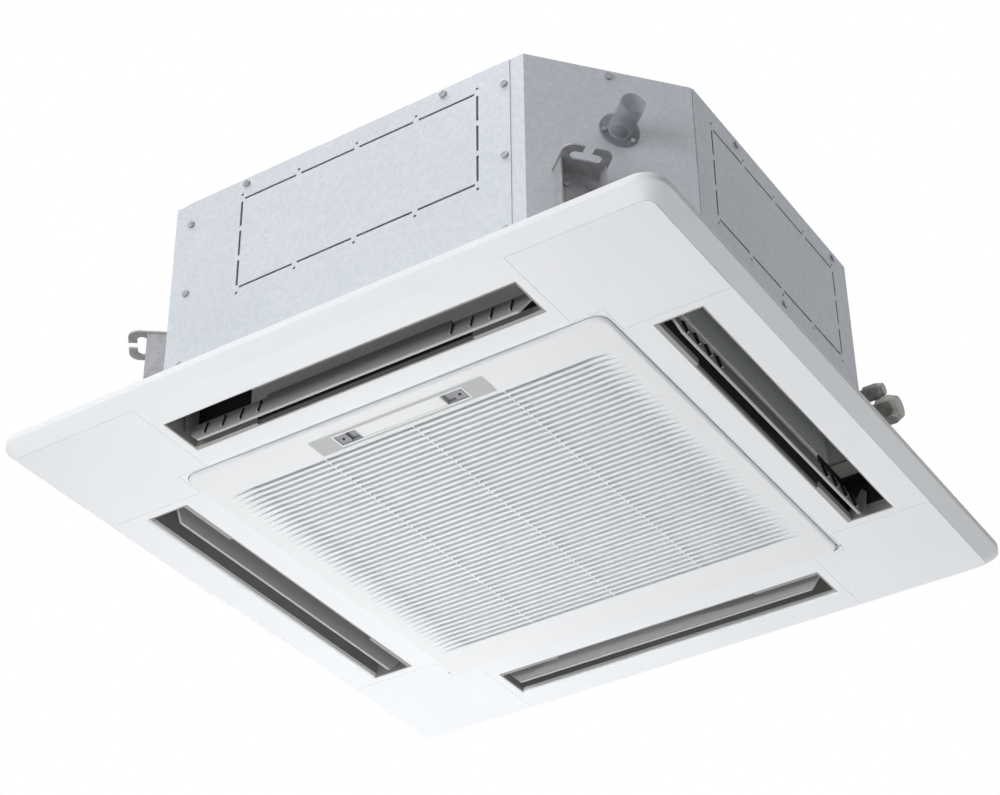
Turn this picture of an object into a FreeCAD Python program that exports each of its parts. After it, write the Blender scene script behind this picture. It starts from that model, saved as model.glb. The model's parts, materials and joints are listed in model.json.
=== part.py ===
import FreeCAD, Part
import os
import re
import Sketcher
from FreeCAD import Rotation, Vector

# Ceiling cassette fan coil unit, hung by four slotted hooks, with a square panel under it.
# Millimetres, +Z up. The origin is on the panel's middle axis, at the hook plates' underside.
# -Y is the front, where the grille's two latches are, and +X is the right.

doc = FreeCAD.newDocument("CassetteFanCoil")
sheet = doc.addObject("Spreadsheet::Sheet", "Sizes")

sizes = {
    # shared clearances and cuts
    "overrun": 5, "fit": 0.3, "running": 0.06, "seat": 0.2, "hair": 0.01,
    # eight-sided steel casing, its flats a little off the middle
    "casing_longer": 14, "casing_height": 300, "corner_x": 136, "corner_y": 183.5, "front_shift": -6,
    "side_shift": -16.5, "sheet_wall": 1.2, "front_seam": 20, "side_seam": 3, "seam_overlap": 42,
    "hook_above_base": 119, "top_lip": 26, "shelf_margin_x": 32, "shelf_margin_y": 28,
    # knock-out outlines pressed into the side sheets
    "knockout_front_in": 89, "knockout_side_in": 46.5, "knockout_base": 122, "knockout_top": 33,
    "knockout_shift": 22, "slit": 3.4, "slit_gap": 8, "pin_hole": 2, "pin_hole_off": 8,
    "slits_across": 4, "slits_up": 3,
    # sheet screws
    "screw_head": 5, "screw_head_tall": 2.6, "screw_shank": 1.8, "column_inset": 8, "top_row_drop": 10,
    "column_low": 34, "column_top": 38, "front_row_in": 117, "columns_rows": 3,
    "side_row_in": 78.5, "side_row_shift": 37, "side_screw_rise": 98,
    # hanger brackets
    "bracket_wide": 58, "bracket_wall": 2.2, "bracket_lift": 11, "bracket_flange": 26, "bracket_off": 46,
    "hook_wide": 62, "hook_reach": 51, "hook_corner": 14, "hook_wall": 2.6, "slot_reach": 33,
    "slot_long": 39, "slot_wide": 13, "slot_mouth": 12, "bracket_screw_off": 14, "bracket_screw_drop": 17,
    "bracket_screw_pitch": 62, "bracket_screw_head": 4.6,
    # foam lining and drain pan
    "lining_wall": 7, "lining_top": 8, "pan_height": 50, "bore_rim": 52, "trough_depth": 28,
    "trough_gap": 8, "slot_step": 4, "slot_deep": 36, "slot_rim": 14, "slot_end": 50.5,
    # heat exchanger
    "coil_margin": 59, "coil_wall": 44, "coil_corner": 85, "coil_opening": 100, "bend_tube": 4.8,
    "bend_reach": 13, "bend_rise": 22, "bend_top": 47.6, "bend_count": 7,
    # water pipes at the back right corner
    "header": 10, "header_low": 70, "header_top": 65, "stub": 4.8, "stub_first": 22, "stub_last": 11,
    "stub_count": 4, "supply_in": 28, "supply_back": 45, "supply_z": 8, "supply_tube": 8, "supply_out": 15,
    "supply_nut": 11, "supply_nut_long": 28, "return_in": 10, "return_back": 76, "return_z": 21,
    "return_tube": 14, "return_out": 22, "return_nut": 20, "return_nut_long": 29, "nut_cap": 5,
    "pipe_wall": 1.5, "pipe_room": 1,
    # bell mouth and turbo fan
    "bell_rim": 6, "bell_wall": 3, "bell_step": 12, "bell_flare": 40, "bell_rise": 58, "bell_lip": 14,
    "fan_gap": 34, "eye_gap": 10, "fan_wall": 3, "shroud_rise": 78, "motor_gap": 9.8,
    "hub": 22, "hub_tall": 20, "blade_long": 100, "blade_bend": 130, "blade_off": 70, "blade_count": 7,
    # motor on rubber bushes
    "motor": 60, "motor_tall": 70, "motor_flange": 84, "motor_flange_wall": 4, "motor_room": 14,
    "bush": 9, "bush_tall": 12, "bush_inset": 12, "bush_count": 3, "motor_bolt": 3, "motor_bolt_head": 6.5,
    "motor_bolt_head_tall": 4.5, "shaft": 6, "shaft_seat": 40, "shaft_tip": 16, "fan_nut": 11,
    "fan_nut_tall": 8,
    # drain pump and its clear socket, on the front right corner
    "pump": 22, "pump_tall": 118, "pump_depth": 47, "drain_off": 11, "drain_rise": 85, "hose": 11,
    "hose_wall": 2, "socket": 16, "socket_wall": 2, "socket_long": 50, "socket_flange": 26,
    "socket_flange_wall": 3, "socket_screw_inset": 4.4, "socket_screw_count": 3, "socket_screw_turn": 75,
    "socket_screw_head": 3, "collar_wall": 1.6, "socket_collar_tall": 6,
    # control box beside the bell mouth
    "box_wide": 300, "box_deep": 78, "box_tall": 36, "box_gap": 7, "box_wall": 1.5, "board_end": 12,
    "board_wide": 200, "board_edge": 9, "board_wall": 1.6, "board_rise": 8, "terminal_wide": 60,
    "terminal_deep": 24, "terminal_tall": 16, "terminal_end": 12,
    # ceiling panel
    "panel_side": 950, "panel_depth": 60, "panel_corner": 32, "panel_bevel": 20, "panel_bevel_rise": 14.4,
    "panel_rim": 9, "panel_wall": 3, "neck_wall": 3, "post": 9, "post_gap": 0.8, "post_inset": 22,
    "post_bolt": 3, "post_bolt_head": 6, "post_bolt_head_tall": 5, "post_bolt_drop": 20,
    "cover_margin": 12.5, "cover_wall": 2.5, "cover_gap": 0.4, "cover_corner": 12, "cover_back": 3.5,
    "cover_back_margin": 5,
    # air outlets, their liners and flaps
    "outlet_border": 61.5, "outlet_wide": 63.5, "outlet_corner": 89.5, "outlet_lip": 5, "liner_wall": 2.2,
    "liner_flange": 4, "liner_flange_wall": 2, "liner_straight": 44, "liner_rim": 5, "liner_step": 4,
    "liner_step_tall": 9, "liner_step_long": 95, "flap_end_gap": 5, "flap_wall": 3.6, "flap_tip_out": 24,
    "flap_tip_drop": 7, "flap_tip_cut": 16, "flap_root_out": 13.5, "flap_root_rise": 28, "flap_end_drop": 6,
    "flap_crest_in": 115.5, "flap_end_wall": 2.2, "pivot_out": 27, "pivot_rise": 33, "pivot_pin": 2.5,
    "pivot_land": 6, "rib_pitch": 27.5, "rib_wall": 2.2, "rib_tall": 4, "ribs_each_end": 4,
    "step_motor": 14, "step_motor_tall": 19, "step_motor_seat": 6,
    # intake grille, filter and latches
    "grille_border": 37, "grille_gap": 1.2, "grille_proud": 5, "grille_deep": 14, "grille_corner": 18,
    "grille_edge": 4, "grille_face": 4, "grille_rim": 4, "slat_ends": 120, "slat_pitch": 10.475,
    "slat_gap": 6, "slat_margin": 20.5, "slat_fade": 44, "slat_shift": -2.5, "cross_count": 3,
    "cross_inset": 155, "cross_wall": 2.5, "cross_tall": 5, "hinge_inset": 7, "hinge_rise": 6,
    "hinge_pin": 2, "hinge_boss": 5, "hinge_in": 10, "hinge_corner": 9, "filter_gap": 22,
    "filter_inset": 64, "filter_frame": 10,
    "filter_tall": 4, "filter_net": 1, "filter_bars": 3, "filter_bar": 4,
    "strip_end": 34, "strip_deep": 34, "strip_inset": 38, "strip_wall": 1.5, "bar_wide": 124, "bar_deep": 21,
    "window_wide": 30, "window_deep": 20, "window_gap": 2, "button_wide": 16, "button_play": 0.75,
    "button_sink": 0.6, "latch_wide": 44, "latch_wall": 2.5, "latch_front": 10, "latch_back": 11,
}

# sizes that follow from others, from the panel's edge inwards
follows = {
    "cover_out": "panel_side / 2 - panel_bevel",
    "outlet_in": "panel_side / 2 - outlet_border - outlet_lip - outlet_wide",
    "outlet_long": "2 * (outlet_in - outlet_corner)",
    "cover_in": "outlet_long / 2 + cover_margin",
    "flap_long": "outlet_long - 2 * flap_end_gap",
    "flap_crest": "flap_long - 2 * flap_crest_in",
    "grille_side": "2 * (outlet_in - grille_border)",
    "slat_long": "grille_side - 2 * slat_margin",
    "slat_count": "floor((grille_side - slat_ends) / slat_pitch)",
    "cross_pitch": "(slat_long - 2 * cross_inset) / (cross_count - 1)",
    "filter_wide": "grille_side - 2 * filter_gap",
    "filter_deep": "grille_side - 2 * filter_inset",
    "strip_y": "grille_side / 2 - strip_inset",
    "window_off": "bar_wide / 2 + window_gap + window_wide / 2",
    "strip_wide": "2 * (window_off + window_wide / 2 + strip_end)",
    "button_deep": "window_deep - 2 * button_play",
    "post_x": "grille_side / 2 + grille_gap + neck_wall + post + post_gap",
    "post_y": "cover_in + post_inset",
    "corner_shelf_x": "post_x - shelf_margin_x",
    "corner_shelf_y": "post_y - shelf_margin_y",
    # the casing over the outlets
    "slot_in": "outlet_in + slot_step",
    "slot_out": "slot_in + slot_deep",
    "slot_half": "outlet_long / 2 - slot_end",
    "liner_lean": "outlet_in + outlet_wide - slot_out - liner_rim",
    "casing_depth": "2 * (slot_out + slot_rim)",
    "casing_width": "casing_depth + casing_longer",
    "front_flat": "casing_width - 2 * corner_x",
    "side_flat": "casing_depth - 2 * corner_y",
    "knockout_front": "front_flat - 2 * knockout_front_in",
    "knockout_side": "side_flat - 2 * knockout_side_in",
    "knockout_height": "casing_height - knockout_base - knockout_top",
    "column_pitch": "(casing_height - column_low - column_top) / (columns_rows - 1)",
    "front_row_off": "front_flat / 2 - front_row_in",
    "side_row_off": "side_flat / 2 - side_row_in",
    "bracket_tall": "hook_above_base - bracket_lift",
    "socket_screw_ring": "socket_flange - socket_screw_inset",
    "socket_collar": "socket + collar_wall",
    # the coil inside the slots, and the fan inside the coil
    "coil_outer": "slot_in - coil_margin",
    "coil_end": "coil_outer - coil_opening",
    "coil_height": "casing_height - 2 * sheet_wall - lining_top - pan_height + trough_depth",
    "bend_pitch": "(coil_height - bend_rise - bend_top) / (bend_count - 1)",
    "header_tall": "casing_height - header_low - header_top",
    "stub_pitch": "(header_tall - stub_first - stub_last) / (stub_count - 1)",
    "supply_x": "coil_outer - supply_in",
    "supply_y": "coil_end + supply_back",
    "supply_end": "casing_width / 2 + supply_out",
    "supply_nut_end": "supply_end + nut_cap",
    "return_x": "coil_outer - return_in",
    "return_y": "coil_end + return_back",
    "return_end": "casing_width / 2 + return_out",
    "return_nut_end": "return_end + nut_cap",
    "pan_bore": "coil_outer - coil_wall - bore_rim",
    "bell_side": "2 * (pan_bore + bell_rim)",
    "bell_low": "pan_bore - bell_step",
    "bell_throat": "bell_low - bell_flare",
    "fan_eye": "bell_throat + eye_gap",
    "fan_radius": "coil_outer - coil_wall - fan_gap",
    "blade_in": "fan_radius - blade_long",
    "motor_over": "sheet_wall + bush_tall + motor_flange_wall + motor_tall",
    "backplate_rise": "casing_height - motor_over - motor_gap - fan_wall",
    "motor_hole": "motor_flange + motor_room",
    "bush_ring": "motor_flange - bush_inset",
    # the control box beside the bell mouth
    "box_in": "bell_side / 2 + box_gap",
    "board_off": "box_wide / 2 - board_end - board_wide / 2",
    "board_deep": "box_deep - 2 * board_edge",
    "terminal_off": "box_wide / 2 - terminal_end - terminal_wide / 2",
}


def fill_sheet():
    cells = {**sizes, **{alias: f"={text}" for alias, text in follows.items()}}
    for row, (alias, cell) in enumerate(cells.items(), start=1):
        sheet.set(f"A{row}", alias)
        sheet.setAlias(f"B{row}", alias)
        sheet.set(f"B{row}", str(cell))
    doc.recompute()


fill_sheet()
words = re.compile(r"[A-Za-z_]+")


def ex(text):
    # an expression in the sheet's words, such as "panel_side / 2"
    known = lambda word: word in sizes or word in follows
    return words.sub(lambda m: f"Sizes.{m.group()}" if known(m.group()) else m.group(), str(text))


def val(text):
    return float(sheet.evalExpression(ex(text)))


def bind(item, **places):
    # ties properties such as Length or Placement__Base__x to expressions
    for path, text in places.items():
        item.setExpression(path.replace("__", "."), ex(text))
    return item


# Primitives and booleans

turns = {"x": Rotation(Vector(0, 1, 0), 90), "y": Rotation(Vector(1, 0, 0), -90), "z": Rotation()}


def box(name, x, y, z):
    # each axis gives its low and its high face
    solid = doc.addObject("Part::Box", name)
    for axis, size, (low, high) in zip("xyz", ("Length", "Width", "Height"), (x, y, z)):
        bind(solid, **{size: f"({high}) - ({low})", f"Placement__Base__{axis}": low})
    return solid


def rod(name, axis, radius, along, across):
    # a cylinder along an axis, from low to high, at the two other coordinates
    solid = doc.addObject("Part::Cylinder", name)
    solid.Placement.Rotation = turns[axis]
    low, high = along
    bind(solid, Radius=radius, Height=f"({high}) - ({low})")
    others = [other for other in "xyz" if other != axis]
    bind(solid, **{f"Placement__Base__{axis}": low})
    for other, place in zip(others, across):
        bind(solid, **{f"Placement__Base__{other}": place})
    return solid


def cone(name, low_radius, high_radius, low, high):
    solid = doc.addObject("Part::Cone", name)
    bind(solid, Radius1=low_radius, Radius2=high_radius, Height=f"({high}) - ({low})")
    return bind(solid, Placement__Base__z=low)


def fuse(name, *pieces):
    joined = doc.addObject("Part::MultiFuse", name)
    joined.Shapes = list(pieces)
    joined.Refine = True
    return joined


def cut(name, base, *tools):
    rest = doc.addObject("Part::Cut", name)
    rest.Base = base
    rest.Tool = tools[0] if len(tools) == 1 else group(f"{name}_cuts", *tools)
    return rest


def common(name, *pieces):
    shared = doc.addObject("Part::MultiCommon", name)
    shared.Shapes = list(pieces)
    return shared


def group(name, *pieces):
    bundle = doc.addObject("Part::Compound", name)
    bundle.Links = list(pieces)
    return bundle


# Prisms drawn as sketches

lays = {"xy": Rotation(), "yz": Rotation(Vector(1, 1, 1), 120), "xz": Rotation(Vector(1, 0, 0), 90)}


def prism(name, outline, low, high, lay="xy"):
    # a straight-sided outline pushed up along Z, along X (yz) or along Y (xz)
    body = doc.addObject("PartDesign::Body", name)
    sketch = body.newObject("Sketcher::SketchObject", f"{name}_outline")
    plane = next(item for item in body.Origin.OriginFeatures if item.Role == "XY_Plane")
    sketch.AttachmentSupport = [(plane, "")]
    sketch.MapMode = "FlatFace"
    corners = [Vector(val(x), val(y), 0) for x, y in outline]
    count = len(corners)
    for i, corner in enumerate(corners):
        sketch.addGeometry(Part.LineSegment(corner, corners[(i + 1) % count]))
    for i in range(count):
        sketch.addConstraint(Sketcher.Constraint("Coincident", i, 2, (i + 1) % count, 1))
    for i, place in enumerate(outline):
        for axis, text, now in zip("XY", place, corners[i]):
            index = sketch.addConstraint(Sketcher.Constraint(f"Distance{axis}", -1, 1, i, 1, now))
            sketch.renameConstraint(index, f"{axis}{i}")
            bind(sketch, **{f"Constraints__{axis}{i}": text})
    pad = body.newObject("PartDesign::Pad", f"{name}_pad")
    pad.Profile = sketch
    bind(pad, Length=f"({high}) - ({low})")
    body.Placement.Rotation = lays[lay]
    start = {"xy": ("z", low), "yz": ("x", low), "xz": ("y", high)}[lay]
    bind(body, **{f"Placement__Base__{start[0]}": start[1]})
    doc.recompute()
    return body


def round_uprights(body, radius, where=None):
    # rounds the upright edges, all or those that the test picks by place
    tip = body.Tip
    names = []
    for i, edge in enumerate(tip.Shape.Edges, start=1):
        upright = abs(edge.tangentAt(edge.FirstParameter).z) > abs(edge.tangentAt(edge.FirstParameter).x)
        upright = upright and edge.BoundBox.XLength < edge.BoundBox.ZLength > edge.BoundBox.YLength
        if upright and (where is None or where(edge.CenterOfMass)):
            names.append(f"Edge{i}")
    rounding = body.newObject("PartDesign::Fillet", f"{body.Name}_round")
    rounding.Base = (tip, names)
    bind(rounding, Radius=radius)
    doc.recompute()
    return body


def low_edges(body):
    # the edges round a body's underside
    tip = body.Tip
    limit = tip.Shape.BoundBox.ZMin + val("hair")
    edges = enumerate(tip.Shape.Edges, start=1)
    return tip, [f"Edge{i}" for i, edge in edges if edge.BoundBox.ZMax < limit]


def rectangle(half_x, half_y):
    return [(f"-({half_x})", f"-({half_y})"), (half_x, f"-({half_y})"), (half_x, half_y),
            (f"-({half_x})", half_y)]


def around(middle, half):
    # the low and the high side of a width about its middle
    return f"{middle} - {half}", f"{middle} + {half}"


def inside(hand, reach, wall):
    # the low and the high side of a wall just inside a reach, on the left (-1) or the right (1)
    return (f"-({reach})", f"-({reach}) + {wall}") if hand < 0 else (f"{reach} - {wall}", reach)


def rounded(name, half, radius, low, high):
    return round_uprights(prism(name, rectangle(half, half), low, high), radius)


def spin(item, quarter_turns):
    item.Placement.Rotation = Rotation(Vector(0, 0, 1), 90 * quarter_turns)
    return item


# Levels and frames

base = "-hook_above_base"
top = "casing_height - hook_above_base"
face = "-hook_above_base - panel_depth"
grille_low = f"{face} - grille_proud"
pan_low = f"{base} + sheet_wall"
pan_top = f"{pan_low} + pan_height"
lining_low = f"{top} - sheet_wall - lining_top"
sides = {"front": 0, "right": 1, "back": 2, "left": 3}
corners = {"front_right": (1, -1), "back_right": (1, 1), "back_left": (-1, 1), "front_left": (-1, -1)}


def corner_ends(corner):
    # how far from the middle a slanted corner meets its two neighbours
    sx, sy = corners[corner]
    return f"(front_flat / 2 + {sx} * front_shift)", f"(side_flat / 2 + {sy} * side_shift)"


def corner_runs(corner):
    # a slanted corner's length along X and along Y
    end_x, end_y = corner_ends(corner)
    return f"(casing_width / 2 - {end_x})", f"(casing_depth / 2 - {end_y})"


def octagon(inset):
    # the casing's outline, drawn in by an inset on all eight sides
    outline = []
    for corner, (sx, sy) in corners.items():
        end_x, end_y = corner_ends(corner)
        run_x, run_y = corner_runs(corner)
        slant = f"sqrt({run_x}^2 + {run_y}^2)"
        near_x = f"{sx} * ({end_x} - ({inset}) * ({slant} - {run_x}) / {run_y})"
        near_y = f"{sy} * ({end_y} - ({inset}) * ({slant} - {run_y}) / {run_x})"
        far_x = f"{sx} * (casing_width / 2 - ({inset}))"
        far_y = f"{sy} * (casing_depth / 2 - ({inset}))"
        ends = [(near_x, far_y), (far_x, near_y)]
        outline += ends if sx * sy < 0 else reversed(ends)
    return outline


def on_corner(item, corner):
    # turns a piece drawn with X outwards on to the middle of a slanted corner
    sx, sy = corners[corner]
    end_x, end_y = corner_ends(corner)
    run_x, run_y = corner_runs(corner)
    item.Placement.Rotation = Rotation(Vector(0, 0, 1), 0)
    return bind(item, Placement__Base__x=f"{sx} * (casing_width / 2 + {end_x}) / 2",
                Placement__Base__y=f"{sy} * (casing_depth / 2 + {end_y}) / 2",
                Placement__Rotation__Angle=f"atan2({sy} * {run_x}; {sx} * {run_y})")


# Screws of the casing

along_x = ("front", "back")


def side_reach(side):
    # a side's distance from the middle
    return "casing_depth / 2" if side in along_x else "casing_width / 2"


def side_middle(side):
    # the middle of a side's flat, along the side
    shift = "front_shift" if side in along_x else "side_shift"
    return shift if side in ("front", "right") else f"-{shift}"


def side_half(side):
    # half the width of a side's sheet
    return "(front_flat / 2 - front_seam)" if side in along_x else "(side_flat / 2 - side_seam)"


def side_screw_places(side):
    middle = side_middle(side)
    row_z = f"{top} - top_row_drop"
    if side not in along_x:
        turned = 1 if side == "right" else -1
        row = [(f"{middle} + {turned} * side_row_shift + {hand} * side_row_off", row_z) for hand in (-1, 1)]
        return row + [(middle, f"{base} + side_screw_rise")]
    column = f"({side_half(side)} - column_inset)"
    places = [(f"{middle} + {hand} * {column}", f"{base} + column_low + {row} * column_pitch")
              for hand in (-1, 1) for row in range(sizes["columns_rows"])]
    return places + [(f"{middle} + {hand} * front_row_off", row_z) for hand in (-1, 1)]


def side_screws(side, name, radius, depth, head):
    # rods across one side sheet, with or without heads
    reach = side_reach(side)
    pieces = []
    for i, (x, z) in enumerate(side_screw_places(side)):
        shank = rod(f"{name}_{side}_shank{i}", "y", radius, (f"-({reach})", f"-({reach}) + {depth}"),
                    (x, z))
        if head:
            cap = rod(f"{name}_{side}_head{i}", "y", "screw_head",
                      (f"-({reach}) - screw_head_tall", f"-({reach})"), (x, z))
            shank = fuse(f"{name}_{side}_screw{i}", shank, cap)
        pieces.append(shank)
    return spin(group(f"{name}_{side}", *pieces), sides[side])


def corner_screw(corner, name, radius, head):
    # one screw at the top of a slanted corner
    middle = f"{top} - top_row_drop"
    piece = rod(f"{name}_{corner}_shank", "x", radius, ("-3 * sheet_wall", "-sheet_wall"), (0, middle))
    if head:
        cap = rod(f"{name}_{corner}_head", "x", "screw_head",
                  ("-sheet_wall", "screw_head_tall - sheet_wall"), (0, middle))
        piece = fuse(f"{name}_{corner}_screw", piece, cap)
    return on_corner(group(f"{name}_{corner}", piece), corner)


shank_depth = "3 * sheet_wall"
casing_screws = group("casing_screws",
                      *[side_screws(side, "casing", "screw_shank", shank_depth, True) for side in sides],
                      *[corner_screw(corner, "casing", "screw_shank", True) for corner in corners])
casing_holes = group("casing_holes",
                     *[side_screws(side, "hole", "screw_shank", shank_depth, False) for side in sides],
                     *[corner_screw(corner, "hole", "screw_shank", False) for corner in corners])


# Casing sheets

def knockout(side):
    # slits and pin holes round the rectangle that can be broken out of a side sheet
    reach = side_reach(side)
    width = "knockout_front" if side in along_x else "knockout_side"
    shift = f"{side_middle(side)} + knockout_shift" if side in along_x else side_middle(side)
    low = f"{base} + knockout_base"
    through = (f"-({reach}) - overrun", f"-({reach}) + overrun")
    across = sizes["slits_across"]
    upward = sizes["slits_up"]
    long_step = f"({width} / slits_across)"
    tall_step = "(knockout_height / slits_up)"
    cuts = []
    for level in (0, 1):
        z = f"{low} + {level} * knockout_height"
        for i in range(across):
            x = (f"{shift} - {width} / 2 + {i} * {long_step} + slit_gap / 2",
                 f"{shift} - {width} / 2 + {i + 1} * {long_step} - slit_gap / 2")
            cuts.append(box(f"{side}_slit{level}{i}", x, through, (f"{z} - slit / 2", f"{z} + slit / 2")))
        for i in range(across + 1):
            x = f"{shift} - {width} / 2 + {i} * {long_step}"
            outside = f"{z} + ({2 * level - 1}) * pin_hole_off"
            cuts.append(rod(f"{side}_pin{level}{i}", "y", "pin_hole", through, (x, outside)))
    for hand in (-1, 1):
        x = f"{shift} + {hand} * {width} / 2"
        for i in range(upward):
            z = (f"{low} + {i} * {tall_step} + slit_gap / 2",
                 f"{low} + {i + 1} * {tall_step} - slit_gap / 2")
            cuts.append(box(f"{side}_upslit{hand + 1}{i}", around(x, "slit / 2"), through, z))
    return cuts


def side_sheet(side):
    reach = side_reach(side)
    half = side_half(side)
    middle = side_middle(side)
    deep = (f"-({reach})", f"-({reach}) + sheet_wall")
    plate = box(f"{side}_plate", around(middle, half), deep, (base, top))
    slotted = spin(cut(f"{side}_slotted", plate, *knockout(side)), sides[side])
    return cut(f"{side}_side_sheet", slotted, casing_holes)


def slab(name, inset, low, high):
    return prism(name, octagon(inset), low, high)


def corner_box(name, corner, in_x, in_y, low, high):
    sx, sy = corners[corner]
    x = (in_x, "casing_width / 2") if sx > 0 else ("-casing_width / 2", f"-({in_x})")
    y = (in_y, "casing_depth / 2") if sy > 0 else ("-casing_depth / 2", f"-({in_y})")
    return box(name, x, y, (low, high))


corner_ring = cut("corner_ring", slab("corner_ring_out", "sheet_wall", base, top),
                  slab("corner_ring_in", "2 * sheet_wall", f"{base} - overrun", f"{top} + overrun"))
shelf_slab = slab("shelf_slab", "sheet_wall", base, pan_low)
post_bores = group("post_bores", *[
    rod(f"post_bore_{corner}", "z", "post_bolt + running", (f"{face} - overrun", f"{pan_low} + overrun"),
        (f"{sx} * post_x", f"{sy} * post_y")) for corner, (sx, sy) in corners.items()])


def corner_sheet(corner):
    # a folded corner with two side flaps, and a shelf that takes the panel's bolt
    end_x, end_y = corner_ends(corner)
    wall = common(f"{corner}_wall", corner_ring,
                  corner_box(f"{corner}_wall_box", corner, f"{end_x} - seam_overlap",
                             f"{end_y} - seam_overlap", base, top))
    shelf_box = corner_box(f"{corner}_shelf_box", corner, "corner_shelf_x", "corner_shelf_y", base, pan_low)
    shelf = common(f"{corner}_shelf", shelf_slab, shelf_box)
    cuts = [casing_holes, post_bores, bracket_holes[corner]]
    if corner == "front_right":
        cuts += [drain_hole, socket_holes]
    if corner == "back_right":
        cuts += pipe_holes
    return cut(f"corner_sheet_{corner}", fuse(f"{corner}_folded", wall, shelf), *cuts)


# Hanger brackets

def bracket_screw_places(corner):
    sx, sy = corners[corner]
    return [(f"{sx * sy} * bracket_off + {hand} * bracket_screw_off",
             f"-bracket_screw_drop - {row} * bracket_screw_pitch")
            for hand in (-1, 1) for row in (0, 1)]


def bracket_screws(corner, name, head):
    pieces = []
    face_x = "bracket_wall - sheet_wall"
    for i, place in enumerate(bracket_screw_places(corner)):
        shank = rod(f"{name}_{corner}{i}", "x", "screw_shank", ("-2 * sheet_wall", face_x), place)
        if head:
            cap = rod(f"{name}_{corner}_head{i}", "x", "bracket_screw_head",
                      (face_x, f"{face_x} + screw_head_tall"), place)
            shank = fuse(f"{name}_{corner}_screw{i}", shank, cap)
        pieces.append(shank)
    return on_corner(group(f"{name}_{corner}", *pieces), corner)


hanger_screws = group("hanger_screws", *[bracket_screws(corner, "hanger", True) for corner in corners])
bracket_holes = {corner: bracket_screws(corner, "hanger_hole", False) for corner in corners}


def hook_plate(corner, back, middle):
    low_side, high_side = around(middle, "hook_wide / 2")
    outline = [(back, low_side), ("hook_reach", low_side), ("hook_reach", high_side), (back, high_side)]
    plate = prism(f"{corner}_hook", outline, "0", "hook_wall")
    return round_uprights(plate, "hook_corner", lambda p: p.x > 0)


def hook_slot(corner, middle):
    # a slot with round ends and a mouth towards the outside
    deep = ("-overrun", "hook_wall + overrun")
    radius = "slot_wide / 2"
    ends = around(middle, "(slot_long - slot_wide) / 2")
    run = box(f"{corner}_slot_run", around("slot_reach", radius), ends, deep)
    rounds = [rod(f"{corner}_slot_end{i}", "z", radius, deep, ("slot_reach", end))
              for i, end in enumerate(ends)]
    mouth_run = ("slot_reach", "hook_reach + overrun")
    mouth = box(f"{corner}_mouth", mouth_run, around(middle, "slot_mouth / 2"), deep)
    return fuse(f"{corner}_slot", run, *rounds, mouth)


def hanger_bracket(corner):
    # a channel screwed to the corner, whose top is a slotted hook open to the outside
    sx, sy = corners[corner]
    middle = f"{sx * sy} * bracket_off"
    back = "-sheet_wall"
    half = "bracket_wide / 2"
    tall = ("-bracket_tall", "0")
    low_side, high_side = around(middle, half)
    web = box(f"{corner}_web", (back, "bracket_wall - sheet_wall"), (low_side, high_side), tall)
    walls = [(low_side, f"{low_side} + bracket_wall"), (f"{high_side} - bracket_wall", high_side)]
    cheeks = [box(f"{corner}_cheek{i}", (back, "bracket_flange"), wall, tall) for i, wall in enumerate(walls)]
    hook = cut(f"{corner}_slotted_hook", hook_plate(corner, back, middle), hook_slot(corner, middle))
    shape = on_corner(fuse(f"{corner}_channel", web, *cheeks, hook), corner)
    return cut(f"hanger_bracket_{corner}", shape, bracket_holes[corner])


# Drain pump, hose and clear socket

def drain_rod(name, radius, along):
    return rod(name, "x", radius, along, ("drain_off", "drain_rise"))


def socket_screw_rods(name, head):
    pieces = []
    count = sizes["socket_screw_count"]
    for i in range(count):
        angle = f"(socket_screw_turn + {i} * 360 / {count})"
        place = (f"drain_off + socket_screw_ring * cos({angle})",
                 f"drain_rise + socket_screw_ring * sin({angle})")
        front = "socket_flange_wall - sheet_wall"
        shank = rod(f"{name}{i}", "x", "screw_shank", ("-2 * sheet_wall", front), place)
        if head:
            tall = (front, f"{front} + screw_head_tall")
            cap = rod(f"{name}_head{i}", "x", "socket_screw_head", tall, place)
            shank = fuse(f"{name}_screw{i}", shank, cap)
        pieces.append(shank)
    return pieces


drain_corner = "front_right"
drain_hole_rod = drain_rod("drain_hole_rod", "hose + fit", ("-overrun", "overrun"))
drain_hole = on_corner(group("drain_hole", drain_hole_rod), drain_corner)
socket_holes = on_corner(group("socket_holes", *socket_screw_rods("socket_hole", False)), drain_corner)
socket_screws = on_corner(group("socket_screws", *socket_screw_rods("socket", True)), drain_corner)


def drain_socket():
    outside = "socket_flange_wall - sheet_wall"
    tube = drain_rod("socket_tube", "socket", ("-sheet_wall", "socket_long"))
    flange = drain_rod("socket_disc", "socket_flange", ("-sheet_wall", outside))
    collar = drain_rod("socket_ring", "socket_collar", ("-sheet_wall", f"{outside} + socket_collar_tall"))
    bore = drain_rod("socket_bore", "socket - socket_wall",
                     ("-sheet_wall - overrun", "socket_long + overrun"))
    shape = on_corner(cut("socket_shape", fuse("socket_solid", tube, flange, collar), bore), drain_corner)
    return cut("drain_socket", shape, socket_holes)


def drain_hose():
    tube = drain_rod("hose_tube", "hose", ("pump - pump_depth - pump / 4", "-sheet_wall"))
    bore = drain_rod("hose_bore", "hose - hose_wall", ("pump - pump_depth - pump", "overrun"))
    return on_corner(cut("drain_hose", cut("hose_pipe", tube, bore), pump_body("hose_cut")), drain_corner)


def pump_body(name):
    high = "drain_rise + hose + fit"
    return rod(name, "z", "pump", (f"{high} - pump_tall", high), ("-pump_depth", "drain_off"))


def drain_pump():
    high = "drain_rise + hose + fit"
    foot = rod("pump_foot", "z", "pump / 2", (pan_top, f"{high} - pump_tall"), ("-pump_depth", "drain_off"))
    return on_corner(fuse("drain_pump", pump_body("pump_case"), foot), drain_corner)


# Water pipes

def pipe_rod(name, which, radius, along):
    return rod(name, "x", radius, along, (f"{which}_y", f"-{which}_z"))


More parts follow.
